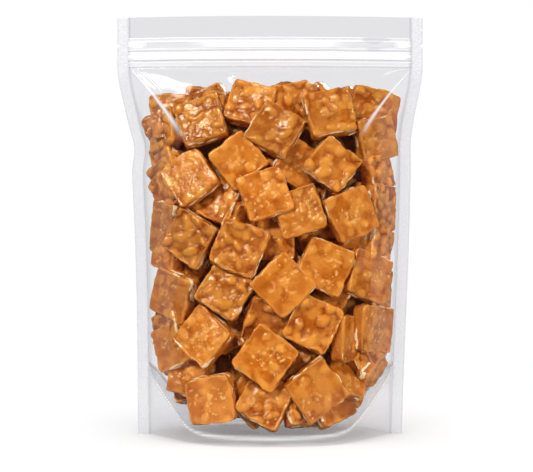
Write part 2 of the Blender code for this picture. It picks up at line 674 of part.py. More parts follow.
def tablet_solid(laid, facing, draw, collection):
    """A tablet with rounded borders, lumps on its outer face and uneven corners."""
    inner = 0.5 - TABLET_EDGE
    lines = np.array([-0.5, -inner, inner, 0.5])
    count = len(lines)
    u, v = np.meshgrid(lines, lines)
    height = np.full(u.shape, laid.thickness / 2)
    lump = LUMP_HEIGHT[laid.look]
    height += draw.uniform(-lump, lump, u.shape)
    height[[0, -1]] = height[:, [0, -1]] = laid.thickness / 2 - TABLET_EDGE_DROP
    across = u * laid.side + draw.uniform(-OUTLINE_JITTER, OUTLINE_JITTER, u.shape)
    along = v * laid.side + draw.uniform(-OUTLINE_JITTER, OUTLINE_JITTER, u.shape)
    outer = np.stack([across, along, height], axis=-1).reshape(-1, 3)
    corners = [0, count - 1, count * count - 1, count * (count - 1)]
    shrink = np.array([INNER_FACE_SHARE, INNER_FACE_SHARE, 0])
    inner_face = outer[corners] * shrink - (0, 0, laid.thickness / 2)
    local = np.concatenate([outer, inner_face])
    axes = np.stack([laid.right, laid.up, laid.out])
    points = to_world(laid.centre + local @ axes, facing)

    grid = np.arange(count * count).reshape(count, count)
    faces = []
    for i in range(count - 1):
        for j in range(count - 1):
            a, b, c, d = grid[i, j], grid[i, j + 1], grid[i + 1, j + 1], grid[i + 1, j]
            faces += [(a, b, c), (a, c, d)]
    rims = [grid[0], grid[:, -1], grid[-1, ::-1], grid[::-1, 0]]
    base = count * count
    for number, rim in enumerate(rims):
        near, far = base + number, base + (number + 1) % 4
        faces += [(near, rim[k + 1], rim[k]) for k in range(count - 1)]
        faces.append((near, far, rim[-1]))
    faces += [(base, base + 2, base + 1), (base, base + 3, base + 2)]
    faces = [tuple(int(corner) for corner in face) for face in faces]
    return mesh_object("tablet", points, faces, collection)


def heap_core():
    x, z = heap_grid(CORE_SIDE_INSET, CORE_TOP_INSET, CORE_GRID)
    half = np.maximum(bulge(x, z) - CORE_FILM_INSET, CORE_LEAST_HALF_DEPTH)
    forward = bow(x, z)
    return slab("brittle", x, z, -half - forward, half - forward)


def make_brittle():
    draw = np.random.default_rng(SEED)
    tablets = bpy.data.collections.new("tablets")
    bpy.context.scene.collection.children.link(tablets)
    for side in lay_heap(draw):
        for laid in side.laid:
            tablet_solid(laid, side.facing, draw, tablets)
    heap = heap_core()
    combine(heap, "UNION", tablets)
    combine(heap, "INTERSECT", prism("limit", heap_outline(FIT_GAP), CUT_HALF_DEPTH))
    keep_largest_piece(heap)
    finish(heap, "brittle")


clear_scene()
make_pouch()
make_zip()
make_brittle()
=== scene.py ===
"""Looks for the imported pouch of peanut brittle: film, zip, seals and every tablet that shows.

The form of the filled pouch and the laying of the tablets follow the part's own source, so each
tablet here lies where the solid one does.  Metres, +Z up, the front faces -Y.
"""

import math
from collections import namedtuple

import bpy
import numpy as np
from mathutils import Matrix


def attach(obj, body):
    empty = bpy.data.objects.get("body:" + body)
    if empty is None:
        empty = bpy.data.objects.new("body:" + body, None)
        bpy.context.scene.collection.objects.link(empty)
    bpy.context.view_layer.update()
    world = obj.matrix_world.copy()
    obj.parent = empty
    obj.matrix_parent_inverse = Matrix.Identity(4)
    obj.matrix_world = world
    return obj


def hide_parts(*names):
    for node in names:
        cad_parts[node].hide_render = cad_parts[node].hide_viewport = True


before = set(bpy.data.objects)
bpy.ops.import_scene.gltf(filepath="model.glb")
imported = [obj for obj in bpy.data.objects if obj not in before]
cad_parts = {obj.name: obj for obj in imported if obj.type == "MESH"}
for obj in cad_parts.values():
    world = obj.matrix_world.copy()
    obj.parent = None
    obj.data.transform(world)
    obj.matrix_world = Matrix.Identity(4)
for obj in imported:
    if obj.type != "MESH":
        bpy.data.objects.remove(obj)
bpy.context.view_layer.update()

# ---------------------------------------------------------------- driving dimensions, in metres

MM = 0.001
POUCH_HEIGHT = 0.245
FLAT_HALF_WIDTH = 0.090        # of the empty pouch, out to the seals' outer edges
SEAL_WIDTH = 0.0065            # side seals, where front film is welded to back film

BELLY_DEPTH = 0.0365           # the filled pouch's half depth at its bottom edge
BELLY_LOSS = 0.010             # what it has lost at BELLY_LOSS_HEIGHT
BELLY_LOSS_HEIGHT = 0.155
BELLY_LOSS_POWER = 1.2
SHOULDER_HEIGHT = 0.165        # the belly closes from here
CLOSED_HEIGHT = 0.2152         # to here, just under the zip
SHOULDER_POWER = 0.75          # below 1 for full shoulders
SEAM_DRAW_IN = (1.40, 1.75)    # how far a bulging section draws its seams in, low and high
FULLNESS = (3.1, 0.62)         # exponents of the section: flat in front, round at the seams
FOOT_FULLNESS = 1.35           # in place of the second one at the foot, where the skirts close
FOOT_HEIGHT = 0.035            # up to here
FOOT_POWER = 1.5

HEADER_BOW = 0.006             # the header's middle stands this far forward of its corners
HEADER_BOW_START = 0.170
SWAY = 0.0012                  # the filled pouch leans this far to the right at half height
SWAY_POWER = 1.5
PINCH_HEIGHT = 0.168           # of a small dent in the left seam
PINCH_HALF_LENGTH = 0.009
PINCH_DEPTH = 0.0017

GUSSET_LOW = 0.004             # the gusset's curved seal: its height at the middle
GUSSET_RISE = 0.036            # and how much higher it meets the side seals
GUSSET_HALF_SPAN = 0.0715
GUSSET_KNEE = 0.64             # where along its half span the seal turns up
GUSSET_SLOPE = 2.75            # how fast it climbs past the knee
GUSSET_KNEE_ROUNDING = 0.25

NOTCH_HEIGHT = 0.2285          # tear notches in the side seals
NOTCH_DEPTH = 0.002
NOTCH_OPENING = 0.0026
ZIP_FOOT = 0.2153              # height of the zip's low edge
ZIP_HALF_LENGTH = 0.0835

HEAP_TOP = 0.2092              # the heap's outline inside the pouch
HEAP_SHOULDER_DROP = 0.012     # at HEAP_SHOULDER from the middle
HEAP_SHOULDER = 0.080
HEAP_FILM_GAP = 0.0005
TABLET_SIDE = (0.0255, 0.0290)
TABLET_THICKNESS = (0.0080, 0.0092)
BACK_TABLETS = 37
GAP_TABLETS = 6                # laid deeper, in the gaps of the front layer
INNER_TABLETS = 28             # on each side, in a layer behind those
LUMPY_SHARE = 0.55
SEED = 9
LOOKS_SEED = 41

CELL = 0.0015                  # of the maps of how far out the heap reaches
MAP_X = np.arange(-0.081, 0.0811, CELL)
MAP_Z = np.arange(0.0, 0.2161, CELL)
SAMPLES = np.linspace(-0.5, 0.5, 7)     # points along a tablet's side where it is tested
CORNERS = [0, 6, 42, 48]                # its corners among those points
LEANS = [(right, up) for right in range(-36, 37, 9) for up in range(-27, 28, 9)]
SHIFTS = [(across, along) for across in (-0.004, 0, 0.004) for along in (-0.004, 0, 0.004)]
NUDGES = [(right, up) for right in (-8, -4, 0, 4, 8) for up in (-8, -4, 0, 4, 8)]
SMALL_SHIFTS = [(across / 2, along / 2) for across, along in SHIFTS]
LEAN_COST = 0.00003            # for each degree
SHIFT_COST = 0.8               # for each metre that a tablet seen in the photo is shifted
SUNK_COST = 2.0                # for each metre past the floor
DEEPEST = 0.004                # a tablet that would sink further past it is left out
TRIES = 16
FILM_GIVE = 0.0008             # a corner may press this far into the film
CORNER_SAMPLES = 13            # so many of a face's 49 points may lie inside other tablets
CORNER_OVERLAP = 0.0072        # by no more than this
EDGE_CLEARANCE = 0.0005        # between a tablet's corners and the seams and gusset
LEAN_SPAN = 0.010              # the film's lean is read this far to each side
STEEPEST = 36                  # a tablet at the seams turns no further to follow the film
LEAST_FACING = 0.4             # limits how thick a tablet seen from its edge counts
SOLVE_STEPS = 12
WEDGE_STEP = 0.99              # a piece that doesn't fit beside a seam moves in by such steps
WEDGE_FORWARD = 0.6            # and lies this share of its free way forward

# How the front was read: the photo's size, the pouch's middle column, the row at eye height,
# pixels per metre at the pouch's middle plane, and where the eye stands.
PHOTO_WIDTH, PHOTO_HEIGHT = 533, 472
MIDDLE_COLUMN = 270
EYE_ROW = 236
PIXELS_PER_METRE = 1696
EYE_HEIGHT = 0.1165
EYE_DISTANCE = 0.600

# The tablets seen through the front, the foremost first.  turn is clockwise in degrees.  lean is
# how far the tablet's face turns to the right and up from the film; where it isn't given, the
# tablet settles against the film and the tablets in front of it by itself.
Seen = namedtuple("Seen", "column row turn side look lean", defaults=[None])
SEEN_TABLETS = [Seen(*row) for row in (
    (283, 285, 45, 0.028, "smooth", (0, 0)), (265, 358, 35, 0.029, "smooth", (0, 0)),
    (316, 390, -38, 0.028, "smooth", (0, 0)), (265, 194, -18, 0.0275, "smooth", (-5, -3)),
    (332, 165, 40, 0.0255, "lumpy", (6, 12)), (190, 178, -35, 0.027, "smooth", (8, 0)),
    (239, 248, 22, 0.0285, "lumpy", (0, 0)), (275, 130, 31, 0.027, "lumpy", (8, 10)),
    (330, 113, -10, 0.028, "lumpy", (-4, 3)), (351, 214, -23, 0.0272, "smooth", (-6, 2)),
    (379, 138, -13, 0.025, "smooth", (-10, 0)), (190, 238, 30, 0.0272, "lumpy", (5, 2)),
    (211, 405, -10, 0.0272, "smooth", (-3, -3)), (203, 337, 38, 0.0272, "smooth", (4, 0)),
    (201, 121, -18, 0.0265, "lumpy", (0, 6)), (325, 267, 23, 0.028, "smooth", (-8, -6)),
    (169, 295, 20, 0.0275, "smooth", (6, 0)), (368, 277, 18, 0.0275, "smooth", (-6, 0)),
    (313, 324, 27, 0.0278, "lumpy"), (235, 160, -39, 0.026, "smooth", (-3, -10)),
    (222, 291, 31, 0.027, "lumpy", (12, 16)), (303, 208, -16, 0.0265, "smooth", (-15, 0)),
    (250, 104, 17, 0.026, "lumpy", (-12, 4)), (371, 103, 12, 0.0255, "lumpy"),
    (172, 115, -3, 0.026, "lumpy"), (265, 405, 28, 0.0275, "lumpy", (8, 14)),
    (160, 234, 15, 0.0272, "smooth"), (158, 178, -30, 0.0275, "lumpy"),
    (374, 330, 8, 0.027, "smooth", (0, 0)), (175, 346, -27, 0.0265, "smooth"),
    (350, 340, 5, 0.0265, "smooth", (40, 6)), (293, 103, -10, 0.0255, "lumpy"),
    (365, 238, 25, 0.026, "lumpy"), (386, 213, 5, 0.0275, "lumpy"),
    (346, 378, 25, 0.026, "smooth"), (372, 368, -40, 0.0265, "smooth"),
    (253, 421, 42, 0.0265, "smooth"), (190, 381, 10, 0.026, "smooth"),
    (386, 172, -20, 0.026, "lumpy"), (330, 418, -15, 0.0265, "smooth"),
    (153, 132, -15, 0.0265, "lumpy"), (165, 375, -25, 0.0265, "lumpy"),
    (303, 420, 5, 0.0258, "lumpy"), (353, 408, -30, 0.0258, "lumpy"),
    (218, 200, 20, 0.0265, "lumpy"), (298, 165, 30, 0.0265, "smooth"),
    (267, 322, 15, 0.0262, "lumpy"), (367, 185, 35, 0.026, "lumpy"),
    (184, 400, -20, 0.026, "lumpy"), (170, 146, -5, 0.0255, "lumpy"),
    (185, 268, 30, 0.0262, "lumpy"), (232, 328, -30, 0.0262, "lumpy"),
    (272, 238, 0, 0.0262, "lumpy"), (205, 108, 10, 0.0258, "lumpy"),
    (213, 372, -20, 0.0258, "smooth"), (240, 388, 30, 0.026, "lumpy"),
)]

# Smaller pieces in the narrow space beside the seams.  Here lean is measured from straight ahead.
BESIDE_SEAMS = [Seen(*row) for row in (
    (150, 131, -15, 0.024, "lumpy", (-50, 5)), (150, 160, -25, 0.023, "lumpy", (-55, 0)),
    (151, 190, -30, 0.024, "lumpy", (-48, -5)), (150, 222, 12, 0.024, "smooth", (-55, 0)),
    (151, 250, 10, 0.023, "smooth", (-50, 0)), (157, 326, 10, 0.023, "lumpy", (-50, 0)),
    (156, 358, -20, 0.024, "lumpy", (-52, 0)), (166, 388, -30, 0.022, "lumpy", (-45, 0)),
    (386, 172, -20, 0.023, "lumpy", (52, 0)), (388, 205, 3, 0.024, "lumpy", (55, 0)),
    (386, 245, 15, 0.023, "lumpy", (55, 0)), (389, 288, 8, 0.024, "lumpy", (60, 0)),
    (384, 358, -35, 0.023, "lumpy", (50, 10)), (368, 392, -35, 0.023, "lumpy", (45, 10)),
)]

# ---------------------------------------------------------------- the filled pouch's form


def unit(value):
    return np.clip(value, 0, 1)


def ease(value):
    """0 up to 0, 1 from 1 on, and a smooth S between."""
    value = unit(value)
    return value * value * (3 - 2 * value)


def belly(z):
    """Half depth of the pouch on its centre line."""
    loss = BELLY_LOSS * unit(z / BELLY_LOSS_HEIGHT) ** BELLY_LOSS_POWER
    closing = unit((CLOSED_HEIGHT - z) / (CLOSED_HEIGHT - SHOULDER_HEIGHT))
    return (BELLY_DEPTH - loss) * np.sin(math.pi / 2 * closing) ** SHOULDER_POWER


def half_chord(z):
    """Half the width between the side seals, drawn in where the belly is deep."""
    low, high = SEAM_DRAW_IN
    draw_in = low + (high - low) * unit(z / BELLY_LOSS_HEIGHT)
    return np.sqrt((FLAT_HALF_WIDTH - SEAL_WIDTH) ** 2 - draw_in * belly(z) ** 2)


def bulge(x, z):
    """How far each panel stands out from the plane of the seals."""
    reach = unit(np.abs(x) / half_chord(z))
    at_foot = unit(1 - z / FOOT_HEIGHT) ** FOOT_POWER
    roundness = FULLNESS[1] + (FOOT_FULLNESS - FULLNESS[1]) * at_foot
    return belly(z) * (1 - reach ** FULLNESS[0]) ** roundness


def bow(x, z):
    """How far the header, which curves from corner to corner, stands forward."""
    rise = unit((z - HEADER_BOW_START) / (POUCH_HEIGHT - HEADER_BOW_START))
    return HEADER_BOW * (1 - (x / FLAT_HALF_WIDTH) ** 2) * rise * rise * (3 - 2 * rise)


def gusset_line(x):
    """Height of the gusset's curved seal."""
    along = GUSSET_SLOPE * (np.abs(x) / GUSSET_HALF_SPAN - GUSSET_KNEE)
    rounded = np.sqrt(along ** 2 + GUSSET_KNEE_ROUNDING ** 2)
    return GUSSET_LOW + GUSSET_RISE / 2 * (along + rounded)


def heap_top(x):
    return HEAP_TOP - HEAP_SHOULDER_DROP * (np.abs(x) / HEAP_SHOULDER) ** 4


def left_pinch(x, z):
    """How far a point moves in at the pinch in the left seam."""
    near = np.exp(-((z - PINCH_HEIGHT) / PINCH_HALF_LENGTH) ** 2)
    return PINCH_DEPTH * near * unit(-x / half_chord(z)) ** 3


def sway(z):
    return SWAY * np.sin(math.pi * unit(z / CLOSED_HEIGHT)) ** SWAY_POWER


# ---------------------------------------------------------------- laying the tablets

Laid = namedtuple("Laid", "centre right up out side thickness look")


def film_reach(x, z, facing):
    """How far out the film lies; facing is 1 for the front and -1 for the back."""
    return bulge(x, z) + facing * bow(x, z) - HEAP_FILM_GAP


def film_lean(x, z, facing):
    """How far a tablet lying under the film there faces right and up, in degrees."""
    across = film_reach(x + LEAN_SPAN, z, facing) - film_reach(x - LEAN_SPAN, z, facing)
    along = film_reach(x, z + LEAN_SPAN, facing) - film_reach(x, z - LEAN_SPAN, facing)
    yaw = np.arctan(-across / (2 * LEAN_SPAN))
    pitch = np.arctan(-along / (2 * LEAN_SPAN) * np.cos(yaw))
    return np.clip(np.degrees(yaw), -STEEPEST, STEEPEST), np.degrees(pitch)


def tablet_axes(turn, to_right, upward):
    """A tablet's right, up and outward directions for each lean, from degrees."""
    yaw, pitch, spin = np.radians(to_right), np.radians(upward), np.radians(-turn)
    out = np.stack([np.sin(yaw) * np.cos(pitch), np.cos(yaw) * np.cos(pitch), np.sin(pitch)], -1)
    level = np.stack([np.cos(yaw), -np.sin(yaw), np.zeros_like(yaw)], -1)
    rise = np.stack([-np.sin(yaw) * np.sin(pitch), -np.cos(yaw) * np.sin(pitch), np.cos(pitch)],
                    -1)
    return (level * np.cos(spin) + rise * np.sin(spin),
            rise * np.cos(spin) - level * np.sin(spin), out)


def sample_tablet(axes, side, thickness):
    """Points over its outer and its inner face, seen from its middle, and all its corners."""
    right, up, out = (axis[:, None] for axis in axes)
    u, v = (grid.reshape(-1, 1) * side for grid in np.meshgrid(SAMPLES, SAMPLES))
    face = u * right + v * up + out * thickness / 2
    inner = face - out * thickness
    return face, inner, np.concatenate([face[:, CORNERS], inner[:, CORNERS]], axis=1)


def move_to(x, z, points):
    return x[:, None] + points[..., 0], z[:, None] + points[..., 2]


def keep_inside(x, z, corners):
    """Shift a tablet's middle until its corners clear the seams, the gusset and the heap's top."""
    across = x[:, None] + corners[..., 0]
    low = gusset_line(across) + EDGE_CLEARANCE - corners[..., 2]
    high = heap_top(across) - corners[..., 2]
    z = np.minimum(np.maximum(z, low.max(axis=1)), high.min(axis=1))
    side = half_chord(z[:, None] + corners[..., 2]) - EDGE_CLEARANCE
    x = np.minimum(np.maximum(x, (-side - corners[..., 0]).max(axis=1)),
                   (side - corners[..., 0]).min(axis=1))
    return x, z


def read_map(heights, x, z):
    """A map's value between its cells."""
    column = np.clip((x - MAP_X[0]) / CELL, 0, len(MAP_X) - 1.001)
    row = np.clip((z - MAP_Z[0]) / CELL, 0, len(MAP_Z) - 1.001)
    i, j = row.astype(int), column.astype(int)
    v, u = row - i, column - j
    low = heights[i, j] * (1 - u) + heights[i, j + 1] * u
    high = heights[i + 1, j] * (1 - u) + heights[i + 1, j + 1] * u
    return low * (1 - v) + high * v


class HeapSide:
    """One side of the heap while it is laid, seen from outside: x right, w outwards and z up.

    The ceiling is how far out a tablet may reach at each place.  It starts as the film, and each
    tablet laid lowers it to that tablet's inner face, so that the next ones slip behind.  The
    floor is how far in a tablet may reach: to the film on the far side, or the tablets there.
    """

    def __init__(self, facing, floor=None):
        x, z = np.meshgrid(MAP_X, MAP_Z)
        self.facing = facing
        self.ceiling = film_reach(x, z, facing)
        self.floor = -film_reach(x, z, -facing) if floor is None else floor
        self.laid = []

    def settle(self, x, z, turn, side, thickness, look, leans=LEANS, shifts=((0, 0),)):
        """What speaks against the pose that brings the tablet furthest out, how far the tablet
        then reaches through the floor, and the tablet.
        """
        film_yaw, film_pitch = film_lean(x, z, self.facing)
        leans, shifts = (np.array(choice, dtype=float) for choice in zip(
            *((lean, shift) for lean in leans for shift in shifts)))
        x, z = x + shifts[:, 0], z + shifts[:, 1]
        axes = tablet_axes(turn, film_yaw + leans[:, 0], film_pitch + leans[:, 1])
        face, inner, corners = sample_tablet(axes, side, thickness)
        x, z = keep_inside(x, z, corners)
        face_at, inner_at = move_to(x, z, face), move_to(x, z, inner)
        under_film = film_reach(*face_at, self.facing) - face[..., 1]
        under_tablets = np.sort(read_map(self.ceiling, *face_at) - face[..., 1], axis=1)
        middle = np.minimum.reduce([under_film.min(axis=1) + FILM_GIVE,
                                    under_tablets[:, CORNER_SAMPLES],
                                    under_tablets[:, 0] + CORNER_OVERLAP])
        sunk = np.maximum((read_map(self.floor, *inner_at) - inner[..., 1]).max(axis=1),
                          (read_map(self.floor, *face_at) - face[..., 1]).max(axis=1)) - middle
        cost = (film_reach(x, z, self.facing) - middle
                + LEAN_COST * np.abs(leans).sum(axis=1)
                + SHIFT_COST * np.abs(shifts).sum(axis=1)
                + SUNK_COST * np.maximum(sunk - FILM_GIVE, 0))
        best = cost.argmin()
        centre = np.array([x[best], middle[best], z[best]])
        axes = (axis[best] for axis in axes)
        return cost[best], sunk[best], Laid(centre, *axes, side, thickness, look)

    def lay(self, tablet):
        """Keep a tablet, and lower the ceiling to its inner face everywhere behind it."""
        x, z = np.meshgrid(MAP_X, MAP_Z)
        across, along = x - tablet.centre[0], z - tablet.centre[2]
        middle = -(across * tablet.out[0] + along * tablet.out[2]) / tablet.out[1]
        offset = np.stack([across, middle, along], axis=-1)
        reach = tablet.side / 2 + CELL / 3
        behind = (np.abs(offset @ tablet.right) < reach) & (np.abs(offset @ tablet.up) < reach)
        inner = tablet.centre[1] + middle - tablet.thickness / 2 / max(tablet.out[1], LEAST_FACING)
        self.ceiling[behind] = np.minimum(self.ceiling, inner)[behind]
        self.laid.append(tablet)

    def place(self, seen, share=1.0):
        """Where a tablet in the photo lies, that share of the way out to just under the film."""
        x, z = 0.0, EYE_HEIGHT
        for _ in range(SOLVE_STEPS):
            depth = share * (film_reach(x, z, self.facing) - TABLET_THICKNESS[0] / 2)
            scale = PIXELS_PER_METRE * EYE_DISTANCE / (EYE_DISTANCE - depth)
            x = (seen.column - MIDDLE_COLUMN) / scale - sway(z)
            z = EYE_HEIGHT - (seen.row - EYE_ROW) / scale
        return x, z

    def lay_seen(self, tablets, draw):
        for seen in tablets:
            tablet = *self.place(seen), seen.turn, seen.side, draw.uniform(*TABLET_THICKNESS)
            leans, shifts = LEANS, SHIFTS
            if seen.lean is not None:
                leans = [(seen.lean[0] + right, seen.lean[1] + up) for right, up in NUDGES]
                shifts = SMALL_SHIFTS
            _, sunk, laid = self.settle(*tablet, seen.look, leans, shifts)
            if sunk < DEEPEST:
                self.lay(laid)

    def lay_beside_seams(self, pieces, draw):
        """Wedge pieces between the two films, as near the seam as there is room for them."""
        for seen in pieces:
            x, z = self.place(seen, 0.0)
            thickness = draw.uniform(*TABLET_THICKNESS)
            axes = tablet_axes(seen.turn, *(np.array([float(angle)]) for angle in seen.lean))
            face, inner, corners = sample_tablet(axes, seen.side, thickness)
            room = -1.0
            while room < 0:
                x, z = keep_inside(np.atleast_1d(x), np.atleast_1d(z), corners)
                ahead = (film_reach(*move_to(x, z, face), self.facing) - face[..., 1]).min()
                behind = (-film_reach(*move_to(x, z, inner), -self.facing) - inner[..., 1]).max()
                room = ahead - behind
                x = x * WEDGE_STEP
            centre = np.array([x[0], behind + room * WEDGE_FORWARD, z[0]])
            self.lay(Laid(centre, *(axis[0] for axis in axes), seen.side, thickness, seen.look))

    def lay_unseen(self, count, draw):
        """Lay tablets at random turns, each the one of some tries that comes nearest the film."""
        for _ in range(count):
            tries = []
            while len(tries) < TRIES:
                z = draw.uniform(0, HEAP_TOP)
                x = draw.uniform(-1, 1) * half_chord(z)
                size = draw.uniform(*TABLET_SIDE), draw.uniform(*TABLET_THICKNESS)
                look = "lumpy" if draw.random() < LUMPY_SHARE else "smooth"
                tries.append(self.settle(x, z, draw.uniform(-45, 45), *size, look))
            self.lay(min(tries, key=lambda attempt: attempt[0])[-1])


def to_world(vector, facing):
    """From one side's right, outwards and up to the pouch's x, y and z."""
    return np.stack([vector[..., 0] * facing, -vector[..., 1] * facing, vector[..., 2]], axis=-1)


def lay_heap(draw):
    front = HeapSide(1)
    front.lay_seen(SEEN_TABLETS, draw)
    front.lay_beside_seams(BESIDE_SEAMS, draw)
    front.lay_unseen(GAP_TABLETS, draw)
    back = HeapSide(-1, floor=-front.ceiling[:, ::-1])
    back.lay_unseen(BACK_TABLETS, draw)
    return front, back


# ---------------------------------------------------------------- helpers for meshes and nodes


def add_object(name, data):
    thing = bpy.data.objects.new(name, data)
    bpy.context.scene.collection.objects.link(thing)
    return thing


def make_piece(name, points, faces, values=None):
    """A smooth mesh from an array of points and a list of faces, with attributes by name."""
    mesh = bpy.data.meshes.new(name)
    mesh.from_pydata(points.reshape(-1, 3).tolist(), [], faces)
    for label, amounts in (values or {}).items():
        layer = mesh.attributes.new(label, "FLOAT", "POINT")
        layer.data.foreach_set("value", np.ravel(amounts).astype(np.float32))
    mesh.polygons.foreach_set("use_smooth", [True] * len(mesh.polygons))
    mesh.update()
    return add_object(name, mesh)


def grid_faces(rows, columns, start=0, flip=False):
    index = np.arange(rows * columns).reshape(rows, columns) + start
    quads = np.stack([index[:-1, :-1], index[:-1, 1:], index[1:, 1:], index[1:, :-1]], axis=-1)
    quads = quads.reshape(-1, 4)
    return (quads[:, ::-1] if flip else quads).tolist()


def rim_of(rows, columns):
    """The points round a grid's edge."""
    index = np.arange(rows * columns).reshape(rows, columns)
    return np.concatenate([index[0, :-1], index[:-1, -1], index[-1, :0:-1], index[:0:-1, 0]])


def band_faces(above, below):
    """The faces between two rings of points."""
    return np.stack([np.roll(above, -1), above, below, np.roll(below, -1)], axis=-1).tolist()


def noise(points, seed):
    """Smooth noise between about -1 and 1, one unit to a cell."""
    table = np.random.default_rng(seed).uniform(-1, 1, (32, 32, 32))
    cell = np.floor(points).astype(int)
    along = ease(points - cell)
    total = 0
    for corner in np.ndindex(2, 2, 2):
        share = np.prod(np.where(corner, along, 1 - along), axis=-1)
        total = total + share * table[tuple(np.moveaxis((cell + corner) % 32, -1, 0))]
    return total


class Shading:
    """Short calls for building the nodes of a material or a world."""

    def __init__(self, owner):
        self.owner = owner
        owner.use_nodes = True
        owner.node_tree.nodes.clear()
        self.place = self.add("TexCoord").outputs["Object"]

    def add(self, kind, entries=(), **settings):
        """A node whose inputs are fed in order, or by the names or numbers given."""
        node = self.owner.node_tree.nodes.new("ShaderNode" + kind)
        for key, value in settings.items():
            setattr(node, key, value)
        named = entries if isinstance(entries, dict) else dict(enumerate(entries))
        for key, value in named.items():
            if isinstance(value, bpy.types.NodeSocket):
                self.owner.node_tree.links.new(value, node.inputs[key])
            elif value is not None:
                node.inputs[key].default_value = value
        return node

    def attributes(self, *names):
        return [self.add("Attribute", attribute_name=name).outputs["Fac"] for name in names]

    def grain(self, scale, detail=3.0, roughness=0.55, output="Fac"):
        entries = {"Vector": self.place, "Scale": scale, "Detail": detail, "Roughness": roughness}
        return self.add("TexNoise", entries).outputs[output]

    def math(self, operation, *values, clamp=False):
        return self.add("Math", values, operation=operation, use_clamp=clamp).outputs[0]

    def times(self, *values, clamp=False):
        """Two values' product, plus a third value where there is one."""
        operation = "MULTIPLY" if len(values) == 2 else "MULTIPLY_ADD"
        return self.math(operation, *values, clamp=clamp)

    def span(self, *values):
        """Moves a value from one range to another, which is 0 to 1 if not given."""
        return self.add("MapRange", values, interpolation_type="SMOOTHSTEP").outputs[0]

    def blend(self, share, first, second, kind="MIX"):
        entries = {0: share, 6: first, 7: second}
        return self.add("Mix", entries, data_type="RGBA", blend_type=kind).outputs[2]

    def bump(self, height, distance, strength=1.0, normal=None):
        entries = {"Strength": strength, "Distance": distance, "Height": height, "Normal": normal}
        return self.add("Bump", entries).outputs[0]

    def shader(self, kind, entries=()):
        return self.add(kind, entries).outputs[0]

    def principled(self, **entries):
        named = {key.replace("_", " "): value for key, value in entries.items()}
        return self.shader("BsdfPrincipled", named)

    def surface(self, shader, output="OutputMaterial"):
        self.add(output, {"Surface": shader})
        return self.owner


# ---------------------------------------------------------------- brittle, in millimetres

FINE = (44, 8)                  # cells across a tablet's face, and rows down its sides
COARSE = (28, 6)
COARSEST = (18, 4)              # for tablets seen only in part, through the gaps
FOOT_INSETS = [0.955, 0.6]      # rings over the inner face, which closes in its middle

# What each kind of face carries: how many lumps, their half lengths, half widths and heights, how
# sharply they stand out, how many raised crumbs and thin arcs, how thick the specks lie, and how
# much lower than the tablet's own thickness the face between the lumps is.
Look = namedtuple("Look", "lumps long short height sharpness crumbs arcs specks drop")
LOOKS = {
    "lumpy": Look((8, 13), (3.8, 6.4), (2.7, 4.2), (0.8, 3.4), 4.2, (3, 8), (0, 1), 0.3, 0.9),
    "knobbly": Look((14, 20), (3.0, 4.8), (2.0, 3.0), (0.5, 2.5), 4.6, (6, 12), (0, 2), 0.4, 0.7),
    "smooth": Look((3, 7), (3.4, 5.6), (2.6, 3.8), (0.15, 0.7), 7.0, (8, 18), (1, 4), 0.75, 0.25),
    "speckled": Look((5, 9), (3.0, 4.8), (2.2, 3.2), (0.15, 0.85), 7.0, (14, 28), (0, 3), 1.1,
                     0.28),
}
OTHER_KIND = {"lumpy": "knobbly", "smooth": "speckled"}

NOISE_REACH = 400               # each tablet reads the noise somewhere within this many cells
UNEVEN_CELLS = (8.0, 3.2, 1.3)  # of the slow, quick and fine unevenness that all tablets have
WARP_CELL, WARP = 4.5, 0.9      # lumps are bent out of their oval shape
RIM_WIDTH = 0.28                # of the painted shade in the crease round a lump, as a share of its size
CRUMB_LONG, CRUMB_SHORT, CRUMB_HEIGHT = (0.6, 1.7), (0.45, 1.0), (0.1, 0.40)
ARC_RADIUS, ARC_WIDTH, ARC_HEIGHT = (1.6, 3.4), 0.55, (0.15, 0.35)
PIT_SIZE, PIT_DEPTH = (0.4, 0.8), 0.40
SPECK_CLUSTERS = 3
CUT_LONG, CUT_SHORT = (2.4, 6.0), (0.7, 1.5)    # nuts sliced through at the sides
TOP_ROUND, FOOT_ROUND = (0.8, 1.4), (0.4, 0.9)  # of the edges
CHIP_REACH = 4.0


def tablet_grid(columns, rows):
    """Lines over the outer face, then rings down the sides to a closed inner face."""
    even = np.linspace(-1, 1, columns + 1)
    u, v = np.meshgrid(*[0.5 * even + 0.5 * np.sin(even * math.pi / 2)] * 2)
    ring, faces = rim_of(*u.shape), grid_faces(*u.shape)
    count = len(ring)
    above = ring
    for start in range(u.size, u.size + (rows + len(FOOT_INSETS)) * count, count):
        below = start + np.arange(count)
        faces += band_faces(above, below)
        above = below
    tip = start + count
    faces += np.stack([above, np.full(count, tip), np.roll(above, -1)], axis=-1).tolist()
    on_rings = np.tile(ring, rows + len(FOOT_INSETS))
    all_u, all_v = (np.concatenate([line.ravel(), line.ravel()[on_rings], [0.0]])
                    for line in (u, v))
    falls = [(row + 1) / rows for row in range(rows)] + [1.0] * len(FOOT_INSETS)
    insets = [1.0] * rows + FOOT_INSETS
    fall = np.concatenate([np.zeros(u.size), np.repeat(falls, count), [1.0]])
    inset = np.concatenate([np.ones(u.size), np.repeat(insets, count), [0.0]])
    wall = (np.arange(tip + 1) >= u.size).astype(float)
    return all_u, all_v, fall, inset, wall, faces


GRIDS = {size: tablet_grid(*size) for size in (FINE, COARSE, COARSEST)}


def scattered(draw, count, half):
    """Middles spread over a square more evenly than chance alone would."""
    spots = np.empty((0, 2))
    while len(spots) < count:
        tries = draw.uniform(-half, half, (8, 2))
        gaps = np.linalg.norm(tries[:, None] - spots, axis=2).min(axis=1, initial=math.inf)
        spots = np.vstack([spots, tries[gaps.argmax()]])
    return spots


def distance(x, y, spots):
    return np.hypot(x[:, None] - spots[:, 0], y[:, None] - spots[:, 1])


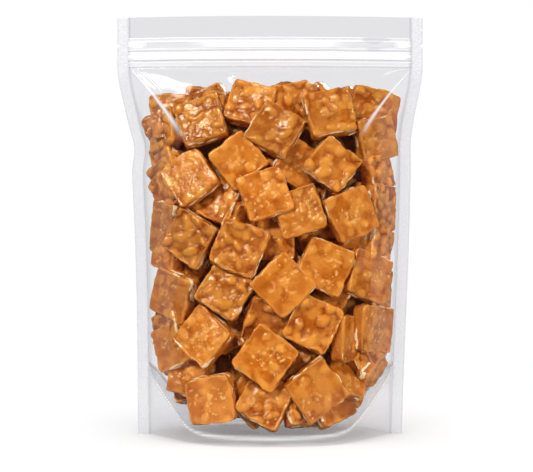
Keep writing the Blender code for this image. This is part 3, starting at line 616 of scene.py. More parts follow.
def ovals(x, y, spots, draw, long, short, turns=(0, math.pi)):
    """1 at each oval's middle, falling to 0 at its rim and below beyond it."""
    long, short, turns = (draw.uniform(*limits, len(spots)) for limits in (long, short, turns))
    across, along = x[:, None] - spots[:, 0], y[:, None] - spots[:, 1]
    a = (across * np.cos(turns) + along * np.sin(turns)) / long
    b = (along * np.cos(turns) - across * np.sin(turns)) / short
    return 1 - a * a - b * b


def relief(x, y, half, look, draw):
    """Height over the face, and where nuts, the painted shade round them, crumbs and specks show.
    """
    warp = np.stack([x, y, 0 * x], axis=-1) / WARP_CELL + draw.uniform(0, NOISE_REACH, 3)
    seed = int(draw.integers(1 << 30))
    x = x + WARP * noise(warp, seed)
    y = y + WARP * noise(warp, seed + 1)

    spots = scattered(draw, int(draw.integers(*look.lumps)), half)
    inside = ovals(x, y, spots, draw, look.long, look.short)
    domes = draw.uniform(*look.height, len(spots)) * unit(inside) ** 0.5
    raised = np.log(np.exp(domes * look.sharpness).mean(axis=1)) / look.sharpness
    nut = unit(inside).max(axis=1)
    rim = np.exp(-(inside.max(axis=1) / RIM_WIDTH) ** 2)

    count = int(draw.integers(*look.crumbs))
    middle = draw.uniform(-0.35, 0.35, 2) * half
    spots = middle + draw.normal(0, 0.42 * half, (count, 2))
    crumbs = unit(ovals(x, y, spots, draw, CRUMB_LONG, CRUMB_SHORT)) ** 0.7
    raised += (crumbs * draw.uniform(*CRUMB_HEIGHT, count)).max(axis=1)
    pale = crumbs.max(axis=1)
    for _ in range(int(draw.integers(*look.arcs))):
        middle_x, middle_y = draw.uniform(-0.5, 0.5, 2) * half
        across, along = x - middle_x, y - middle_y
        turn = np.arctan2(along, across) - draw.uniform(-math.pi, math.pi)
        ridge = np.exp(-((np.hypot(across, along) - draw.uniform(*ARC_RADIUS)) / ARC_WIDTH) ** 2)
        ridge *= ease(np.cos(turn) * 1.6 + draw.uniform(-0.6, 0.4))
        raised += draw.uniform(*ARC_HEIGHT) * ridge
        pale = np.maximum(pale, 0.55 * ridge)

    count = int(draw.integers(3, 9))
    spots = draw.uniform(-0.85, 0.85, (count, 2)) * half
    pits = unit(1 - (distance(x, y, spots) / draw.uniform(*PIT_SIZE, count)) ** 2)
    raised -= PIT_DEPTH * pits.max(axis=1)
    middles = draw.uniform(-0.5, 0.5, (SPECK_CLUSTERS, 2)) * half
    near = distance(x, y, middles) / (draw.uniform(0.25, 0.6, SPECK_CLUSTERS) * half)
    specks = look.specks * np.exp(-near ** 2).max(axis=1)
    return raised, nut, rim, pale, specks


def cut_nuts(x, y, z, half, thick, inward, uneven, draw):
    """Where nuts are sliced through at the four sides: above 0 in a nut."""
    cut = np.full(len(x), -1.0)
    for across, along, facing in ((x, y, -1), (x, y, 1), (y, x, -1), (y, x, 1)):
        on_side = np.abs(along * facing - half) < 2.5
        count = int(draw.integers(1, 5))
        spots = np.stack([draw.uniform(-0.85, 0.85, count) * half,
                          draw.uniform(-0.25, 0.46, count) * thick], axis=-1)
        shown = ovals(across[on_side], z[on_side], spots, draw, CUT_LONG, CUT_SHORT, (-0.25, 0.25))
        depth = np.clip(1 - inward[on_side] / 0.45, -1, 1)
        shown = np.minimum(shown.max(axis=1) + uneven[on_side], depth)
        cut[on_side] = np.maximum(cut[on_side], shown)
    return cut


def edge_chips(x, y, z, half, thick, draw):
    """How far the outline is bitten in, mostly at the outer face."""
    chips = np.zeros(len(x))
    for _ in range(int(draw.integers(3, 8))):
        angle = draw.uniform(0, 2 * math.pi)
        near = np.hypot(x - 1.2 * half * np.cos(angle), y - 1.2 * half * np.sin(angle))
        chips += draw.uniform(0.3, 0.9) * np.exp(-(near / CHIP_REACH) ** 4) * np.exp(
            -np.clip(thick / 2 - z, 0, 9) / 2.5)
    return chips


def tablet(laid, kind, draw, fineness):
    """A tablet's points in its own millimetres, its faces and its attributes."""
    look = LOOKS[kind]
    u, v, fall, inset, wall, faces = GRIDS[fineness]
    half, thick = laid.side / MM / 2, laid.thickness / MM
    top_round, foot_round = draw.uniform(*TOP_ROUND), draw.uniform(*FOOT_ROUND)
    seed = int(draw.integers(1 << 30))

    corner = 1 - draw.uniform(0.05, 0.09) * np.abs(u * v) ** 8
    skew = draw.uniform(-0.02, 0.02, 4)
    x = (u + skew[0] * v + skew[1] * u * v) * half * corner * inset
    y = (v + skew[2] * u + skew[3] * u * v) * half * corner * inset
    inward = (1 - np.maximum(np.abs(u), np.abs(v))) * half
    inward[wall > 0] = 0
    bend = unit(1 - inward / top_round)
    face_z = thick / 2 - top_round * (1 - np.sqrt(1 - bend ** 2))
    foot = np.where(inset < 1, -thick / 2, -thick / 2 + foot_round)
    z = np.where(wall > 0, (thick / 2 - top_round) * (1 - fall) + foot * fall, face_z)

    raised, nut, rim, pale, specks = relief(x, y, half, look, draw)
    place = np.stack([x, y, z], axis=-1) + draw.uniform(0, NOISE_REACH, 3)
    slow, quick, fine = (noise(place / size, seed + k) for k, size in enumerate(UNEVEN_CELLS))
    raised += slow * (0.28 + 0.34 * look.drop) + quick * (0.14 + 0.42 * look.drop)
    raised += fine * (0.06 + 0.15 * look.drop)
    edge = ease(inward / 2.2)
    face = (1 - wall) * (0.30 + 0.70 * edge)
    z = z + (face + 0.30 * wall * (1 - fall)) * (raised - look.drop)

    cut = cut_nuts(x, y, z, half, thick, inward, 0.6 * quick + 0.3 * fine, draw)
    swell = 0.50 * slow + 0.46 * quick + 0.24 * fine + 0.22 * ease(cut * 2 + 0.4) - 0.18
    swell -= edge_chips(x, y, z, half, thick, draw)
    side = ease(1 - inward / 2.0)
    out = np.stack([np.sign(line) * np.abs(line) ** 12 for line in (u, v)], axis=-1)
    out /= np.maximum(np.linalg.norm(out, axis=1), 1e-6)[:, None]
    out *= (swell * side * (inset >= 0.9))[:, None]
    x, y = x + out[:, 0], y + out[:, 1]

    # How far each place lies sunk below the face, deepened in a ring round each lump; the sides
    # count as partly sunk.  The material paints shade from it.
    low = np.clip(look.drop - raised, -0.5, 0.5) + 0.45 * rim * (0.3 + look.drop)
    values = {"nut": nut * face, "pale": pale * face, "cut": cut, "specks": specks * face,
              "sunk": low * (1 - wall) + wall * (0.35 + 0.3 * quick),
              "tone_and_core_shade": np.full(len(u), draw.uniform(-1, 1)), "wall": np.maximum(wall, side * 0.5),
              # a painted highlight along the outer face's edges:
              "edge_highlight": (1 - wall) * (1 - edge)}
    return np.stack([x, y, z], axis=-1), faces, values


def brittle_piece(name, entries, kind, facing, draw, fineness):
    """One mesh from several tablets of one kind."""
    clumps, all_faces, all_values, start = [], [], {}, 0
    for laid in entries:
        points, faces, values = tablet(laid, kind, draw, fineness)
        axes = np.stack([laid.right, laid.up, laid.out])
        world = to_world(laid.centre + (points * MM) @ axes, facing)
        world[:, 0] += sway(world[:, 2])
        clumps.append(world)
        all_faces += [tuple(corner + start for corner in face) for face in faces]
        for label, amounts in values.items():
            all_values.setdefault(label, []).append(amounts)
        start += len(world)
    values = {label: np.concatenate(parts) for label, parts in all_values.items()}
    return make_piece(name, np.concatenate(clumps), all_faces, values)


# The mass of tablets furthest in.
CORE_COLUMNS, CORE_ROWS = 70, 96
CORE_INSET = 0.0170             # under the film
CORE_SIDE_INSET = 0.0150        # from the seams
CORE_LOW_INSET = 0.0120         # and from the gusset
CORE_TOP_INSET = 0.008
CORE_LEAST_HALF_DEPTH = 0.0015
CORE_LUMP, CORE_SLOPE = 8.0, 16.0       # how far apart its lumps and its long rises are
CORE_SEED = 31
CORE_SHADE = -3.6                # painted shade: dark, as no light falls in so far


def nut_domes(x, y, size, seed):
    """Oval domes up to 1 high, one to each cell of a shaken grid."""
    table = np.random.default_rng(seed).uniform(0, 1, (32, 32, 5))
    cell_x, cell_y = np.floor(x / size).astype(int), np.floor(y / size).astype(int)
    highest = np.zeros_like(x)
    for step in np.ndindex(3, 3):
        i, j = cell_x + step[0] - 1, cell_y + step[1] - 1
        jitter_x, jitter_y, turn, wide, high = np.moveaxis(table[i % 32, j % 32], -1, 0)
        across, along = x - (i + jitter_x) * size, y - (j + jitter_y) * size
        cos, sin = np.cos(turn * math.pi), np.sin(turn * math.pi)
        a = (across * cos + along * sin) / (0.75 + 0.35 * wide)
        b = (along * cos - across * sin) / (0.48 + 0.20 * wide)
        dome = unit(1 - (a * a + b * b) / size ** 2) ** 0.5
        highest = np.maximum(highest, dome * (0.4 + 0.6 * high))
    return highest


def brittle_core():
    """A lumpy body that closes what shows between the inner tablets."""
    across, up = np.meshgrid(np.linspace(-1, 1, CORE_COLUMNS + 1), np.linspace(0, 1, CORE_ROWS + 1))
    z = HEAP_TOP * up
    for _ in range(SOLVE_STEPS):
        x = across * (half_chord(z) - CORE_SIDE_INSET)
        low = gusset_line(x) + CORE_LOW_INSET
        z = low + (heap_top(x) - CORE_TOP_INSET - low) * up
    sheets, faces, lumps = [], [], []
    for facing in (1, -1):
        flat = np.stack([x / MM, 9.0 * facing + 0 * x, z / MM], axis=-1)
        dome = nut_domes(flat[..., 0], flat[..., 2], CORE_LUMP, CORE_SEED + facing)
        slope = noise(flat / CORE_SLOPE, CORE_SEED + 2)
        edge = np.minimum(1 - np.abs(across), np.minimum(up, 1 - up) * 1.4)
        half = np.maximum(bulge(x, z) - CORE_INSET, CORE_LEAST_HALF_DEPTH)
        half = half + (4.6 * dome + 2.0 * slope - 4.2) * MM * ease(edge * 8)
        half = np.maximum(half, CORE_LEAST_HALF_DEPTH)
        sheets.append(np.stack([x + sway(z), -facing * half - bow(x, z), z], axis=-1))
        lumps.append(dome)
        faces += grid_faces(*x.shape, start=len(faces) and x.size, flip=facing < 0)
    rim = rim_of(*x.shape)
    faces += band_faces(rim, rim + x.size)
    nut = np.array(lumps)
    # The core is painted dark: painted shade between its domes, and painted shade all over, as
    # little light reaches it.
    values = {"nut": nut * 0.9, "cut": nut * 0 - 1, "sunk": 1.0 - 1.2 * nut,
              "tone_and_core_shade": nut * 0 + CORE_SHADE, "wall": nut * 0 + 0.2}
    return make_piece("brittle_core", np.array(sheets), faces, values)


AMBER = (0.585, 0.160, 0.007, 1)
DEEP = (0.28, 0.043, 0.001, 1)
GOLDEN = (0.84, 0.350, 0.054, 1)
MILKY = (0.63, 0.212, 0.030, 1)
CRUMB = (0.92, 0.50, 0.15, 1)
SKIN = (0.20, 0.048, 0.004, 1)          # of the nuts, round where they are cut
CREAM = (1.00, 0.78, 0.46, 1)           # the cut nuts
CREAM_SHADE = (0.84, 0.56, 0.26, 1)
CARAMEL_SHINE = (1.0, 0.83, 0.50, 1)


def brittle_material():
    shade = Shading(bpy.data.materials.new("brittle_caramel"))
    nut, pale, cut, sunk, tone_and_core_shade, wall, specks, edge_highlight = shade.attributes(
        "nut", "pale", "cut", "sunk", "tone_and_core_shade", "wall", "specks", "edge_highlight")
    cloud, patches = shade.grain(55.0), shade.grain(120.0)
    mottle, fine = shade.grain(230.0, 4.0), shade.grain(900.0)

    # Painted shade: sunk places, the rings round the lumps and the sides are darkened toward DEEP,
    # and random mottling adds to it.
    valley_shade_and_mottle = shade.times(sunk, 1.2, shade.span(mottle, 0.46, 0.70, 0.0, 0.30), clamp=True)
    colour = shade.blend(valley_shade_and_mottle, AMBER, DEEP)
    under = shade.times(nut, shade.span(cloud, 0.35, 0.65, 0.45, 1.0))
    # Golden over nuts that lie near the surface, and a painted highlight along the face's edges.
    colour = shade.blend(shade.times(edge_highlight, 0.55, under, clamp=True), colour, GOLDEN)
    colour = shade.blend(shade.span(patches, 0.44, 0.62, 0.0, 0.45), colour, GOLDEN)
    colour = shade.blend(shade.span(patches, 0.50, 0.36, 0.0, 0.25), colour, DEEP)
    colour = shade.blend(shade.span(cloud, 0.40, 0.66, 0.0, 0.45), colour, MILKY)

    # Specks: a dot in some of the cells of a shaken grid, in ragged outline.
    ragged_place = shade.add(
        "VectorMath", (shade.grain(1500.0, 2.0, 0.5, "Color"), (0.0011,) * 3, shade.place),
        operation="MULTIPLY_ADD").outputs[0]
    cells = shade.add("TexVoronoi", {"Vector": ragged_place, "Scale": 640.0})
    chance = shade.add("SeparateColor", [cells.outputs["Color"]]).outputs[0]
    size = shade.times(shade.span(chance, 0.35, 1.0, 0.0, 0.50), specks)
    dot = shade.span(shade.math("SUBTRACT", size, cells.outputs["Distance"]), 0.0, 0.12)
    crumb = shade.times(pale, shade.span(mottle, 0.35, 0.6, 0.3, 0.9))
    crumb = shade.math("MAXIMUM", crumb, shade.times(dot, 0.65))
    colour = shade.blend(crumb, colour, CRUMB)
    # Each tablet's tone, lighter or darker at random, and on the core painted shade.
    lighter = shade.add("CombineColor", [shade.times(tone_and_core_shade, 0.13, 1.0)] * 3).outputs[0]
    colour = shade.blend(1.0, colour, lighter, "MULTIPLY")

    ragged = shade.times(shade.span(mottle, 0.3, 0.7, -1.0, 1.0), 0.40, cut)
    sliced = shade.span(ragged, 0.02, 0.10)
    skin = shade.times(shade.span(ragged, -0.20, -0.02), 0.8)
    colour = shade.blend(shade.times(skin, wall, clamp=True), colour, SKIN)
    cream = shade.blend(shade.span(fine, 0.4, 0.7), CREAM, CREAM_SHADE)
    colour = shade.blend(sliced, colour, cream)

    gloss = shade.times(sliced, 0.25, shade.span(mottle, 0.3, 0.75, 0.19, 0.33))
    normal = shade.bump(fine, 0.00022, 0.8, shade.bump(mottle, 0.0007, 0.8))
    normal = shade.bump(dot, 0.00025, 0.8, normal)
    return shade.surface(shade.principled(
        Base_Color=colour, Roughness=gloss, Normal=normal, Specular_IOR_Level=0.50,
        Specular_Tint=CARAMEL_SHINE, Subsurface_Weight=0.12,
        Subsurface_Radius=(1.0, 0.42, 0.16), Subsurface_Scale=0.0015,
        Coat_Weight=0.12, Coat_Roughness=0.07))


# ---------------------------------------------------------------- the film

FILM_OVER_HEAP = 0.0006
FILM_COLUMNS, FILM_ROWS = 150, 190
SEAL_COLUMNS = 6
NOTCH_ROWS = 8
GUSSET_COLUMNS, GUSSET_ROWS = 140, 50
GUSSET_END = 0.0012             # how far the gusset's film stays from the seams
GUSSET_BELOW = 0.0003           # its weld, and how much it sags between them
GUSSET_SAG = 0.0005
PLY = 0.00012                   # each panel's distance from the seals' middle plane
CRUMPLED_TOP = 0.205            # the film beside the seals is crumpled up to here
CREASE_HEIGHT = 0.32            # of a fold, as a share of its width
CREASE_SPREAD = 0.0019

# Creases in the front film that run down from the zip's ends: two ends as (x, z), half width at
# the lower end, how white the fold is painted, partly the stretched film's whitening and partly a
# painted highlight, and four times how far the fold bends aside at its middle.
Crease = namedtuple("Crease", "start end width white sag")
CREASES = [
    Crease((-0.0822, 0.2150), (-0.0480, 0.1700), 0.0025, 0.72, 0.006),
    Crease((-0.0800, 0.2150), (-0.0600, 0.1960), 0.0009, 0.45, 0.006),
    Crease((0.0830, 0.2145), (0.0500, 0.1710), 0.0019, 0.66, -0.006),
    Crease((0.0825, 0.2150), (0.0645, 0.2090), 0.0007, 0.40, -0.006),
]
FILM_TINT = (0.90, 0.90, 0.91, 1)
SEAM_TINT = (0.80, 0.80, 0.82, 1)
FROSTED = (0.88, 0.88, 0.90, 1)
FROSTED_EDGE = (0.72, 0.72, 0.75, 1)
FILM_GLOSS, FILM_SLANTED_GLOSS = 0.024, 0.40


def crease_line(crease):
    """Where the fold starts, its length and its direction."""
    start, end = np.array(crease.start), np.array(crease.end)
    length = float(np.linalg.norm(end - start))
    return start, length, (end - start) / length


def crease_lift(x, z):
    """How far the folds raise the front film, in metres."""
    lift = np.zeros_like(x)
    for crease in CREASES:
        start, length, way = crease_line(crease)
        right, up = x - start[0], z - start[1]
        share = (right * way[0] + up * way[1]) / length
        aside = up * way[0] - right * way[1] + share * (share - 1) * crease.sag
        ends = ease(share / 0.15) * ease((1 - share) / 0.35)
        lift += CREASE_HEIGHT * crease.width * np.exp(-(aside / CREASE_SPREAD) ** 2) * ends
    return lift


def heap_reach(heap_points, facing):
    """How far out the tablets reach toward one panel, widened by two cells."""
    height = np.full((len(MAP_Z), len(MAP_X)), -1.0)
    x, y, z = heap_points.T
    column = np.rint(((x - sway(z)) * facing - MAP_X[0]) / CELL).astype(int)
    row = np.rint((z - MAP_Z[0]) / CELL).astype(int)
    cell = row.clip(0, len(MAP_Z) - 1), column.clip(0, len(MAP_X) - 1)
    np.maximum.at(height, cell, -y * facing)
    for axis in (0, 1, 0, 1):
        height = np.maximum.reduce([np.roll(height, step, axis) for step in (-1, 0, 1)])
    return height


def blur(grid, times):
    for _ in range(2 * times):
        wide = np.pad(grid, [(1, 1), (0, 0)], mode="edge")
        grid = ((wide[:-2] + 2 * grid + wide[2:]) / 4).T
    return grid


def panel_lift(heap_points, facing):
    """How much further out than the plain bulge the film is pushed, as a map."""
    x, z = np.meshgrid(MAP_X, MAP_Z)
    plain = bulge(x, z) + facing * bow(x, z)
    need = np.maximum(heap_reach(heap_points, facing) + FILM_OVER_HEAP - plain, 0)
    wide = blur(need, 3)
    return wide + 0.6 * (need - wide).clip(0)


def wrinkles(x, z, facing):
    """Ripples beside the seals and broad waves, in millimetres outwards."""
    beside = ease((np.abs(x) / half_chord(z) - 0.72) / 0.2) * ease((CRUMPLED_TOP - z) / 0.02)
    ripple, wave = (
        noise(np.stack([x / wide, z / high, np.full_like(x, apart * facing)], axis=-1), seed)
        for wide, high, apart, seed in ((0.0042, 0.030, 5.0, 71), (0.020, 0.026, 9.0, 72)))
    return 0.22 * ripple * beside + 0.45 * wave


def panel(name, heap_points, facing):
    """The front or back film from the bottom edge to the header's top, seals included."""
    heights = np.unique(np.concatenate([
        np.linspace(0, POUCH_HEIGHT, FILM_ROWS + 1),
        NOTCH_HEIGHT + np.linspace(-1, 1, NOTCH_ROWS + 1) * NOTCH_OPENING / 2]))
    across = np.sin(np.linspace(-1, 1, FILM_COLUMNS + 1) * math.pi / 2)
    chord = half_chord(heights)[:, None]
    notch = NOTCH_DEPTH * unit(1 - np.abs(heights - NOTCH_HEIGHT)[:, None] / NOTCH_OPENING * 2)
    share = np.linspace(0, 1, SEAL_COLUMNS + 1)[1:]
    right = chord * (1 - share) + (chord + SEAL_WIDTH - notch) * share
    x = np.concatenate([-right[:, ::-1], across * chord, right], axis=1)
    z = np.repeat(heights[:, None], x.shape[1], axis=1)

    lift = read_map(panel_lift(heap_points, facing), x * facing, z)
    reach = np.abs(x) / chord
    out = bulge(x, z) + lift * ease((1 - reach) / 0.05) + PLY
    out += wrinkles(x * facing, z, facing) * MM * ease((1 - reach) / 0.02)
    if facing > 0:
        out += crease_lift(x, z)
    points = np.stack([x + left_pinch(x, z) + sway(z), -facing * out - bow(x, z), z], axis=-1)

    in_seal = ease((reach - 0.997) / 0.006)
    past_seam, above_gusset = np.abs(x) - chord, z - gusset_line(x)
    # Beside the seals the crumpled film is made a little milky: partly scatter from its ripples,
    # partly a painted sheen.
    crumpled_sheen = ease((reach - 0.70) / 0.22) * ease((CRUMPLED_TOP - z) / 0.02)
    values = {
        "frost": in_seal * (0.30 + 0.35 * ease((z - 0.205) / 0.01)),
        "skirt_and_sheen": np.maximum(ease(-above_gusset / 0.0008), 0.7 * crumpled_sheen) * (1 - in_seal),
        "weld": np.exp(-(above_gusset / 0.0009) ** 2) * (1 - in_seal),
        "seam": np.exp(-((past_seam + 0.0007) / 0.0006) ** 2),
        "edge": ease((past_seam - SEAL_WIDTH + 0.0008) / 0.0006),
        "front": np.full_like(x, facing > 0)}
    return make_piece(name, points, grid_faces(*x.shape, flip=facing < 0), values)


def gusset_film():
    """The bottom panel, welded to both skirts along its curved edge."""
    across, share = np.meshgrid(np.linspace(-1, 1, GUSSET_COLUMNS + 1),
                                np.linspace(-1, 1, GUSSET_ROWS + 1))
    x = across * (half_chord(0.03) - GUSSET_END)
    z = gusset_line(x)
    y = share * bulge(x, z)
    uneven = noise(np.stack([x / 0.012, y / 0.012, z * 0 + 3], axis=-1), 81)
    sag = uneven * GUSSET_SAG * (1 - share ** 2) - GUSSET_BELOW
    points = np.stack([x + sway(z), y, z + sag], axis=-1)
    return make_piece("gusset", points, grid_faces(*x.shape))


def crease_ridge(shade, crease):
    """1 along the fold's line, falling to 0 beside it; the fold widens on its way down."""
    start, length, way = crease_line(crease)
    x, _, z = shade.add("SeparateXYZ", [shade.place]).outputs
    along, aside = (
        shade.times(z, float(up), shade.times(x, float(right), float(-start @ (right, up))))
        for right, up in (way, (-way[1], way[0])))
    share = shade.math("DIVIDE", along, length)
    sag = shade.times(shade.times(share, shade.math("SUBTRACT", share, 1.0)), crease.sag)
    aside = shade.math("ABSOLUTE", shade.math("ADD", aside, sag))
    width = shade.times(share, crease.width, 0.0004)
    ridge = shade.span(shade.math("DIVIDE", aside, width), 1.0, 0.0)
    ends = shade.times(shade.span(share, 0.0, 0.06), shade.span(share, 1.0, 0.70))
    return shade.times(ridge, ends)


def film_material():
    shade = Shading(bpy.data.materials.new("film_clear"))
    frost, skirt_and_sheen, weld, seam, edge, front = shade.attributes(
        "frost", "skirt_and_sheen", "weld", "seam", "edge", "front")
    grainy, mottled = shade.grain(1500.0), shade.grain(420.0)
    normal = shade.bump(shade.grain(60.0, 2.0), 0.0006, 0.14)
    # Along each fold the film is painted white: partly the stretched film's whitening, partly a
    # painted highlight.
    crease_highlight = 0.0
    for crease in CREASES:
        ridge = shade.times(crease_ridge(shade, crease), front)
        normal = shade.bump(ridge, 0.0008, 1.0, normal)
        crease_highlight = shade.times(ridge, crease.white, crease_highlight)
    slant = shade.add("LayerWeight", {"Blend": 0.5, "Normal": normal}).outputs["Facing"]
    slant = shade.math("POWER", slant, 4.0)
    mirror = shade.times(slant, FILM_SLANTED_GLOSS, FILM_GLOSS, clamp=True)
    clear = shade.shader("BsdfTransparent", [shade.blend(seam, FILM_TINT, SEAM_TINT)])
    gloss = shade.shader("BsdfGlossy", {"Color": (1, 1, 1, 1), "Roughness": 0.09,
                                        "Normal": normal})
    film = shade.shader("MixShader", (mirror, clear, gloss))

    milky = shade.principled(Base_Color=shade.blend(edge, FROSTED, FROSTED_EDGE), Roughness=0.35,
                             Normal=shade.bump(grainy, 0.0002, 0.6))
    spots = shade.times(shade.span(mottled, 0.35, 0.65, -0.10, 0.10),
                        shade.span(frost, 0.40, 0.60))
    white = shade.times(frost, shade.span(grainy, 0.30, 0.70, 0.88, 1.12), spots)
    white = shade.times(weld, 0.75, white)
    white = shade.math("MAXIMUM", white, crease_highlight)
    # Below the gusset's weld the film is a little milky, and beside the seals it carries a painted
    # sheen.
    white = shade.times(skirt_and_sheen, 0.05, white, clamp=True)
    return shade.surface(shade.shader("MixShader", (white, film, milky)))


# ---------------------------------------------------------------- the zip

# Heights up the zip from its low edge and half its thickness there, in millimetres, and how milky
# the plastic is, which is less at its ends where the last value says so.
ZIP_PROFILE = [
    (0.0, 0.30, 0.15, 0), (0.4, 0.36, 0.20, 0), (0.9, 0.45, 0.62, 0), (2.6, 0.45, 0.50, 0),
    (3.3, 0.45, 0.80, 0), (3.8, 0.40, 0.12, 0), (4.3, 0.45, 0.30, 0), (4.9, 0.58, 0.95, 0),
    (6.8, 0.68, 1.00, 0), (8.6, 0.60, 1.00, 0), (9.1, 0.46, 0.60, 0), (9.5, 0.40, 0.12, 0),
    (10.1, 0.40, 0.35, 0), (10.6, 0.46, 0.75, 0), (11.3, 0.42, 0.55, 0), (11.8, 0.50, 1.00, 1),
    (13.2, 0.54, 1.00, 1), (14.7, 0.50, 1.00, 1), (15.2, 0.46, 0.95, 0), (15.8, 0.38, 0.55, 0),
    (16.8, 0.40, 0.60, 0), (17.2, 0.50, 0.95, 0), (17.5, 0.30, 0.90, 0),
]
ZIP_WHITE_RIBS = (6.8, 13.2)    # the middles of its two white ribs
ZIP_RIB_REACH = 3.0             # and how far to each side they run to a point at the ends
ZIP_COLUMNS, ZIP_ROWS = 72, 79
ZIP_CLEAR = (0.95, 0.95, 0.96, 1)
ZIP_MILKY = ((0.94, 0.94, 0.95, 1), (0.99, 0.99, 0.99, 1))


def zip_band():
    level, half, white, at_ends = np.array(ZIP_PROFILE).T
    fine = np.unique(np.concatenate([level, np.linspace(0, level[-1], ZIP_ROWS + 1)]))
    x, up = np.meshgrid(np.linspace(-1, 1, ZIP_COLUMNS + 1) * ZIP_HALF_LENGTH, fine)
    z = ZIP_FOOT + up * MM
    to_end = ZIP_HALF_LENGTH - np.abs(x)
    half = np.interp(up, level, half) * MM * (1 - 0.7 * ease((0.003 - to_end) / 0.003))
    lens = ease((np.abs(x) / ZIP_HALF_LENGTH - 0.35) / 0.25) * ease((to_end - 0.006) / 0.006)
    # The white ribs run out to points where the seals crush them.
    rib = np.where(up < sum(ZIP_WHITE_RIBS) / 2, *ZIP_WHITE_RIBS)
    seen = rib + (up - rib) * (1 + 1.4 * unit(1 - to_end / 0.0045))
    seen = np.where(np.abs(seen - rib) < ZIP_RIB_REACH, seen, up)
    milky = np.interp(seen, level, white) * (1 - 0.65 * lens * np.interp(up, level, at_ends))
    sides = [np.stack([x + sway(z), -facing * half - bow(x, z), z], axis=-1)
             for facing in (1, -1)]
    rim = rim_of(*x.shape)
    faces = grid_faces(*x.shape) + grid_faces(*x.shape, start=x.size, flip=True)
    faces += band_faces(rim, rim + x.size)
    return make_piece("zip_band", np.array(sides), faces, {"milky": np.array([milky, milky])})


def zip_material():
    shade = Shading(bpy.data.materials.new("zip_plastic"))
    clear = shade.shader("BsdfTransparent", [ZIP_CLEAR])
    body = shade.principled(Base_Color=shade.blend(shade.grain(90.0, 2.0), *ZIP_MILKY),
                            Roughness=0.35, Specular_IOR_Level=0.4)
    milky = shade.times(*shade.attributes("milky"), 0.9)
    return shade.surface(shade.shader("MixShader", (milky, clear, body)))


# ---------------------------------------------------------------- floor, light and camera

FLOOR_HALF = 1.0
FLOOR_DROP = 0.0004             # below the pouch
FLOOR_WHITE = (0.93, 0.93, 0.935, 1)
FLOOR_FADE = (0.06, 0.40)       # it fades out between these distances
FLOOR_CLEAR = 0.36              # how much of the surroundings shows through, for light shadows
WORLD_LIGHT, WORLD_BEHIND = 0.19, 0.06

# Place, what it points at, size, power, the only pieces that it lights if not all, and whether
# they mirror it.
LIGHTS = {
    "key": ((-0.60, -1.05, 0.95), (0, 0, 0.12), (0.28, 0.28), 21.5, "brittle", True),
    "second": ((0.95, -0.95, 0.25), (0, 0, 0.12), (0.45, 0.45), 11.5, "brittle", False),
    "rear": ((0.60, 1.10, 0.80), (0, 0, 0.12), (0.45, 0.45), 18.0, "brittle", True),
    "overhead": ((-1.00, -0.30, 1.15), (0, 0, 0.15), (0.45, 0.45), 2.5, "pouch", True),
    "shoulder": ((-0.42, -0.50, 1.22), (-0.06, 0, 0.2), (0.42, 0.36), 5.0, "pouch", True),
    "left": ((-1.20, -0.30, 0.30), (0, 0, 0.12), (0.50, 0.9), 1.2, None, True),
    "right": ((1.20, -0.30, 0.30), (0, 0, 0.12), (0.50, 0.9), 1.4, None, False),
    "right sheen": ((1.15, -0.05, 0.25), (0, 0, 0.12), (0.90, 0.9), 2.6, "film", True),
    "wash": ((0.0, -1.10, 0.90), (0, 0, 0.12), (0.9, 0.6), 18.0, "film", False),
    "zip wash": ((0.0, -1.10, 0.70), (0, 0, 0.2), (0.9, 0.6), 17.0, "zip", False),
    "rear wash": ((0.0, 1.10, 0.80), (0, 0, 0.12), (0.9, 0.6), 14.0, "pouch", False),
    "floor": ((0.0, -0.20, 1.50), (0, 0, 0.0), (1.2, 1.2), 28.0, "floor", False),
}


def floor_piece():
    """A white floor that fades into the white surroundings."""
    corners = [(-1, -1), (1, -1), (1, 1), (-1, 1)]
    points = np.array([(x * FLOOR_HALF, y * FLOOR_HALF, -FLOOR_DROP) for x, y in corners])
    floor = make_piece("floor", points, [(0, 1, 2, 3)])
    shade = Shading(bpy.data.materials.new("floor_white"))
    reach = shade.add("VectorMath", [shade.place], operation="LENGTH").outputs["Value"]
    white = shade.principled(Base_Color=FLOOR_WHITE, Roughness=0.8, Specular_IOR_Level=0.1)
    faded = shade.span(reach, *FLOOR_FADE, FLOOR_CLEAR)
    floor.data.materials.append(shade.surface(shade.shader(
        "MixShader", (faded, white, shade.shader("BsdfTransparent")))))
    return floor


def area_light(name, place, target, size, power):
    lamp = bpy.data.lights.new(name, "AREA")
    lamp.shape = "RECTANGLE"
    lamp.size, lamp.size_y = size
    lamp.energy = power
    holder = add_object(name, lamp)
    holder.location = place
    way = np.array(place) - np.array(target)
    pitch = math.atan2(math.hypot(way[0], way[1]), way[2])
    holder.rotation_euler = (pitch, 0, math.atan2(way[0], -way[1]))
    return holder


def surroundings():
    """White as the camera sees them.  As light they are dimmer, and most of all behind the
    camera, so that the flat front of the film mirrors little light.
    """
    shade = Shading(bpy.data.worlds.new("studio"))
    way = shade.add("TexCoord").outputs["Generated"]
    ahead = shade.add("SeparateXYZ", [way]).outputs["Y"]
    dim = shade.span(ahead, -0.95, -0.35, WORLD_BEHIND, WORLD_LIGHT)
    seen = shade.add("LightPath").outputs["Is Camera Ray"]
    back = shade.shader("Background", [(1, 1, 1, 1), shade.span(seen, 0.0, 1.0, dim)])
    return shade.surface(back, "OutputWorld")


def studio(groups):
    bpy.context.scene.view_settings.view_transform = "Standard"
    bpy.context.scene.world = surroundings()
    for name, (place, target, size, power, group, mirrored) in LIGHTS.items():
        lamp = area_light(name, place, target, size, power)
        lamp.visible_glossy = mirrored
        if group:
            lamp.light_linking.receiver_collection = groups[group]


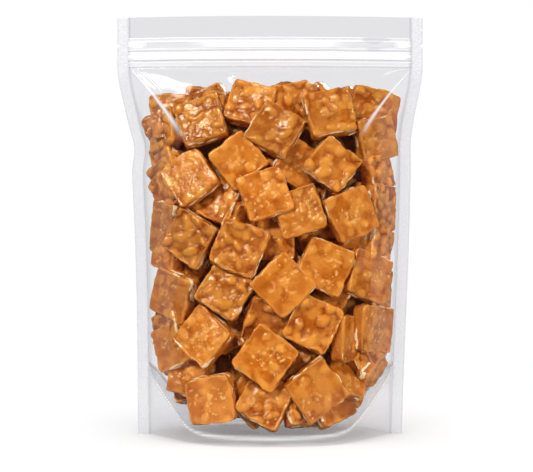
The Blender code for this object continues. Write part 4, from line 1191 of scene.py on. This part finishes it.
def camera():
    lens = bpy.data.cameras.new("camera")
    lens.sensor_fit = "HORIZONTAL"
    lens.sensor_width = 36.0
    lens.lens = EYE_DISTANCE * PIXELS_PER_METRE / PHOTO_WIDTH * lens.sensor_width
    lens.shift_x = (PHOTO_WIDTH / 2 - MIDDLE_COLUMN) / PHOTO_WIDTH
    lens.shift_y = (EYE_ROW - PHOTO_HEIGHT / 2) / PHOTO_WIDTH
    lens.clip_start = 0.01
    eye = add_object("camera", lens)
    eye.location = (0, -EYE_DISTANCE, EYE_HEIGHT)
    eye.rotation_euler = (math.pi / 2, 0, 0)
    bpy.context.scene.camera = eye


# ---------------------------------------------------------------- the scene


def tablets():
    """The tablets of both sides, in pieces by kind, and then those further in."""
    front, back = lay_heap(np.random.default_rng(SEED))
    draw = np.random.default_rng(LOOKS_SEED)
    heap = []
    for plain, other in OTHER_KIND.items():
        same = [laid for laid in front.laid if laid.look == plain]
        for kind, entries in ((plain, same[::2]), (other, same[1::2])):
            heap.append(brittle_piece("brittle_" + kind, entries, kind, 1, draw, FINE))
    heap.append(brittle_piece("brittle_back", back.laid, "knobbly", -1, draw, COARSE))
    for side, name in ((front, "brittle_inner_front"), (back, "brittle_inner_back")):
        outer = len(side.laid)
        side.lay_unseen(INNER_TABLETS, draw)
        inner = side.laid[outer:]
        heap.append(brittle_piece(name, inner, "knobbly", side.facing, draw, COARSEST))
    return heap


def dress():
    """Every piece, by the groups that lamps light."""
    heap = tablets()
    points = np.array([point.co for piece in heap for point in piece.data.vertices])
    heap.append(brittle_core())
    caramel = brittle_material()
    for piece in heap:
        piece.data.materials.append(caramel)
        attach(piece, "root")
        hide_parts("brittle")

    pouch = [panel("film_front", points, 1), panel("film_back", points, -1), gusset_film()]
    film = film_material()
    for piece in pouch:
        piece.data.materials.append(film)
        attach(piece, "root")
        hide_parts("pouch")

    band = zip_band()
    band.data.materials.append(zip_material())
    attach(band, "root")
    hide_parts("zip")

    return {"brittle": heap, "film": pouch, "zip": [band], "pouch": pouch + [band],
            "floor": [floor_piece()]}


groups = {}
for label, pieces in dress().items():
    groups[label] = bpy.data.collections.new(label)
    for piece in pieces:
        groups[label].objects.link(piece)
studio(groups)
camera()
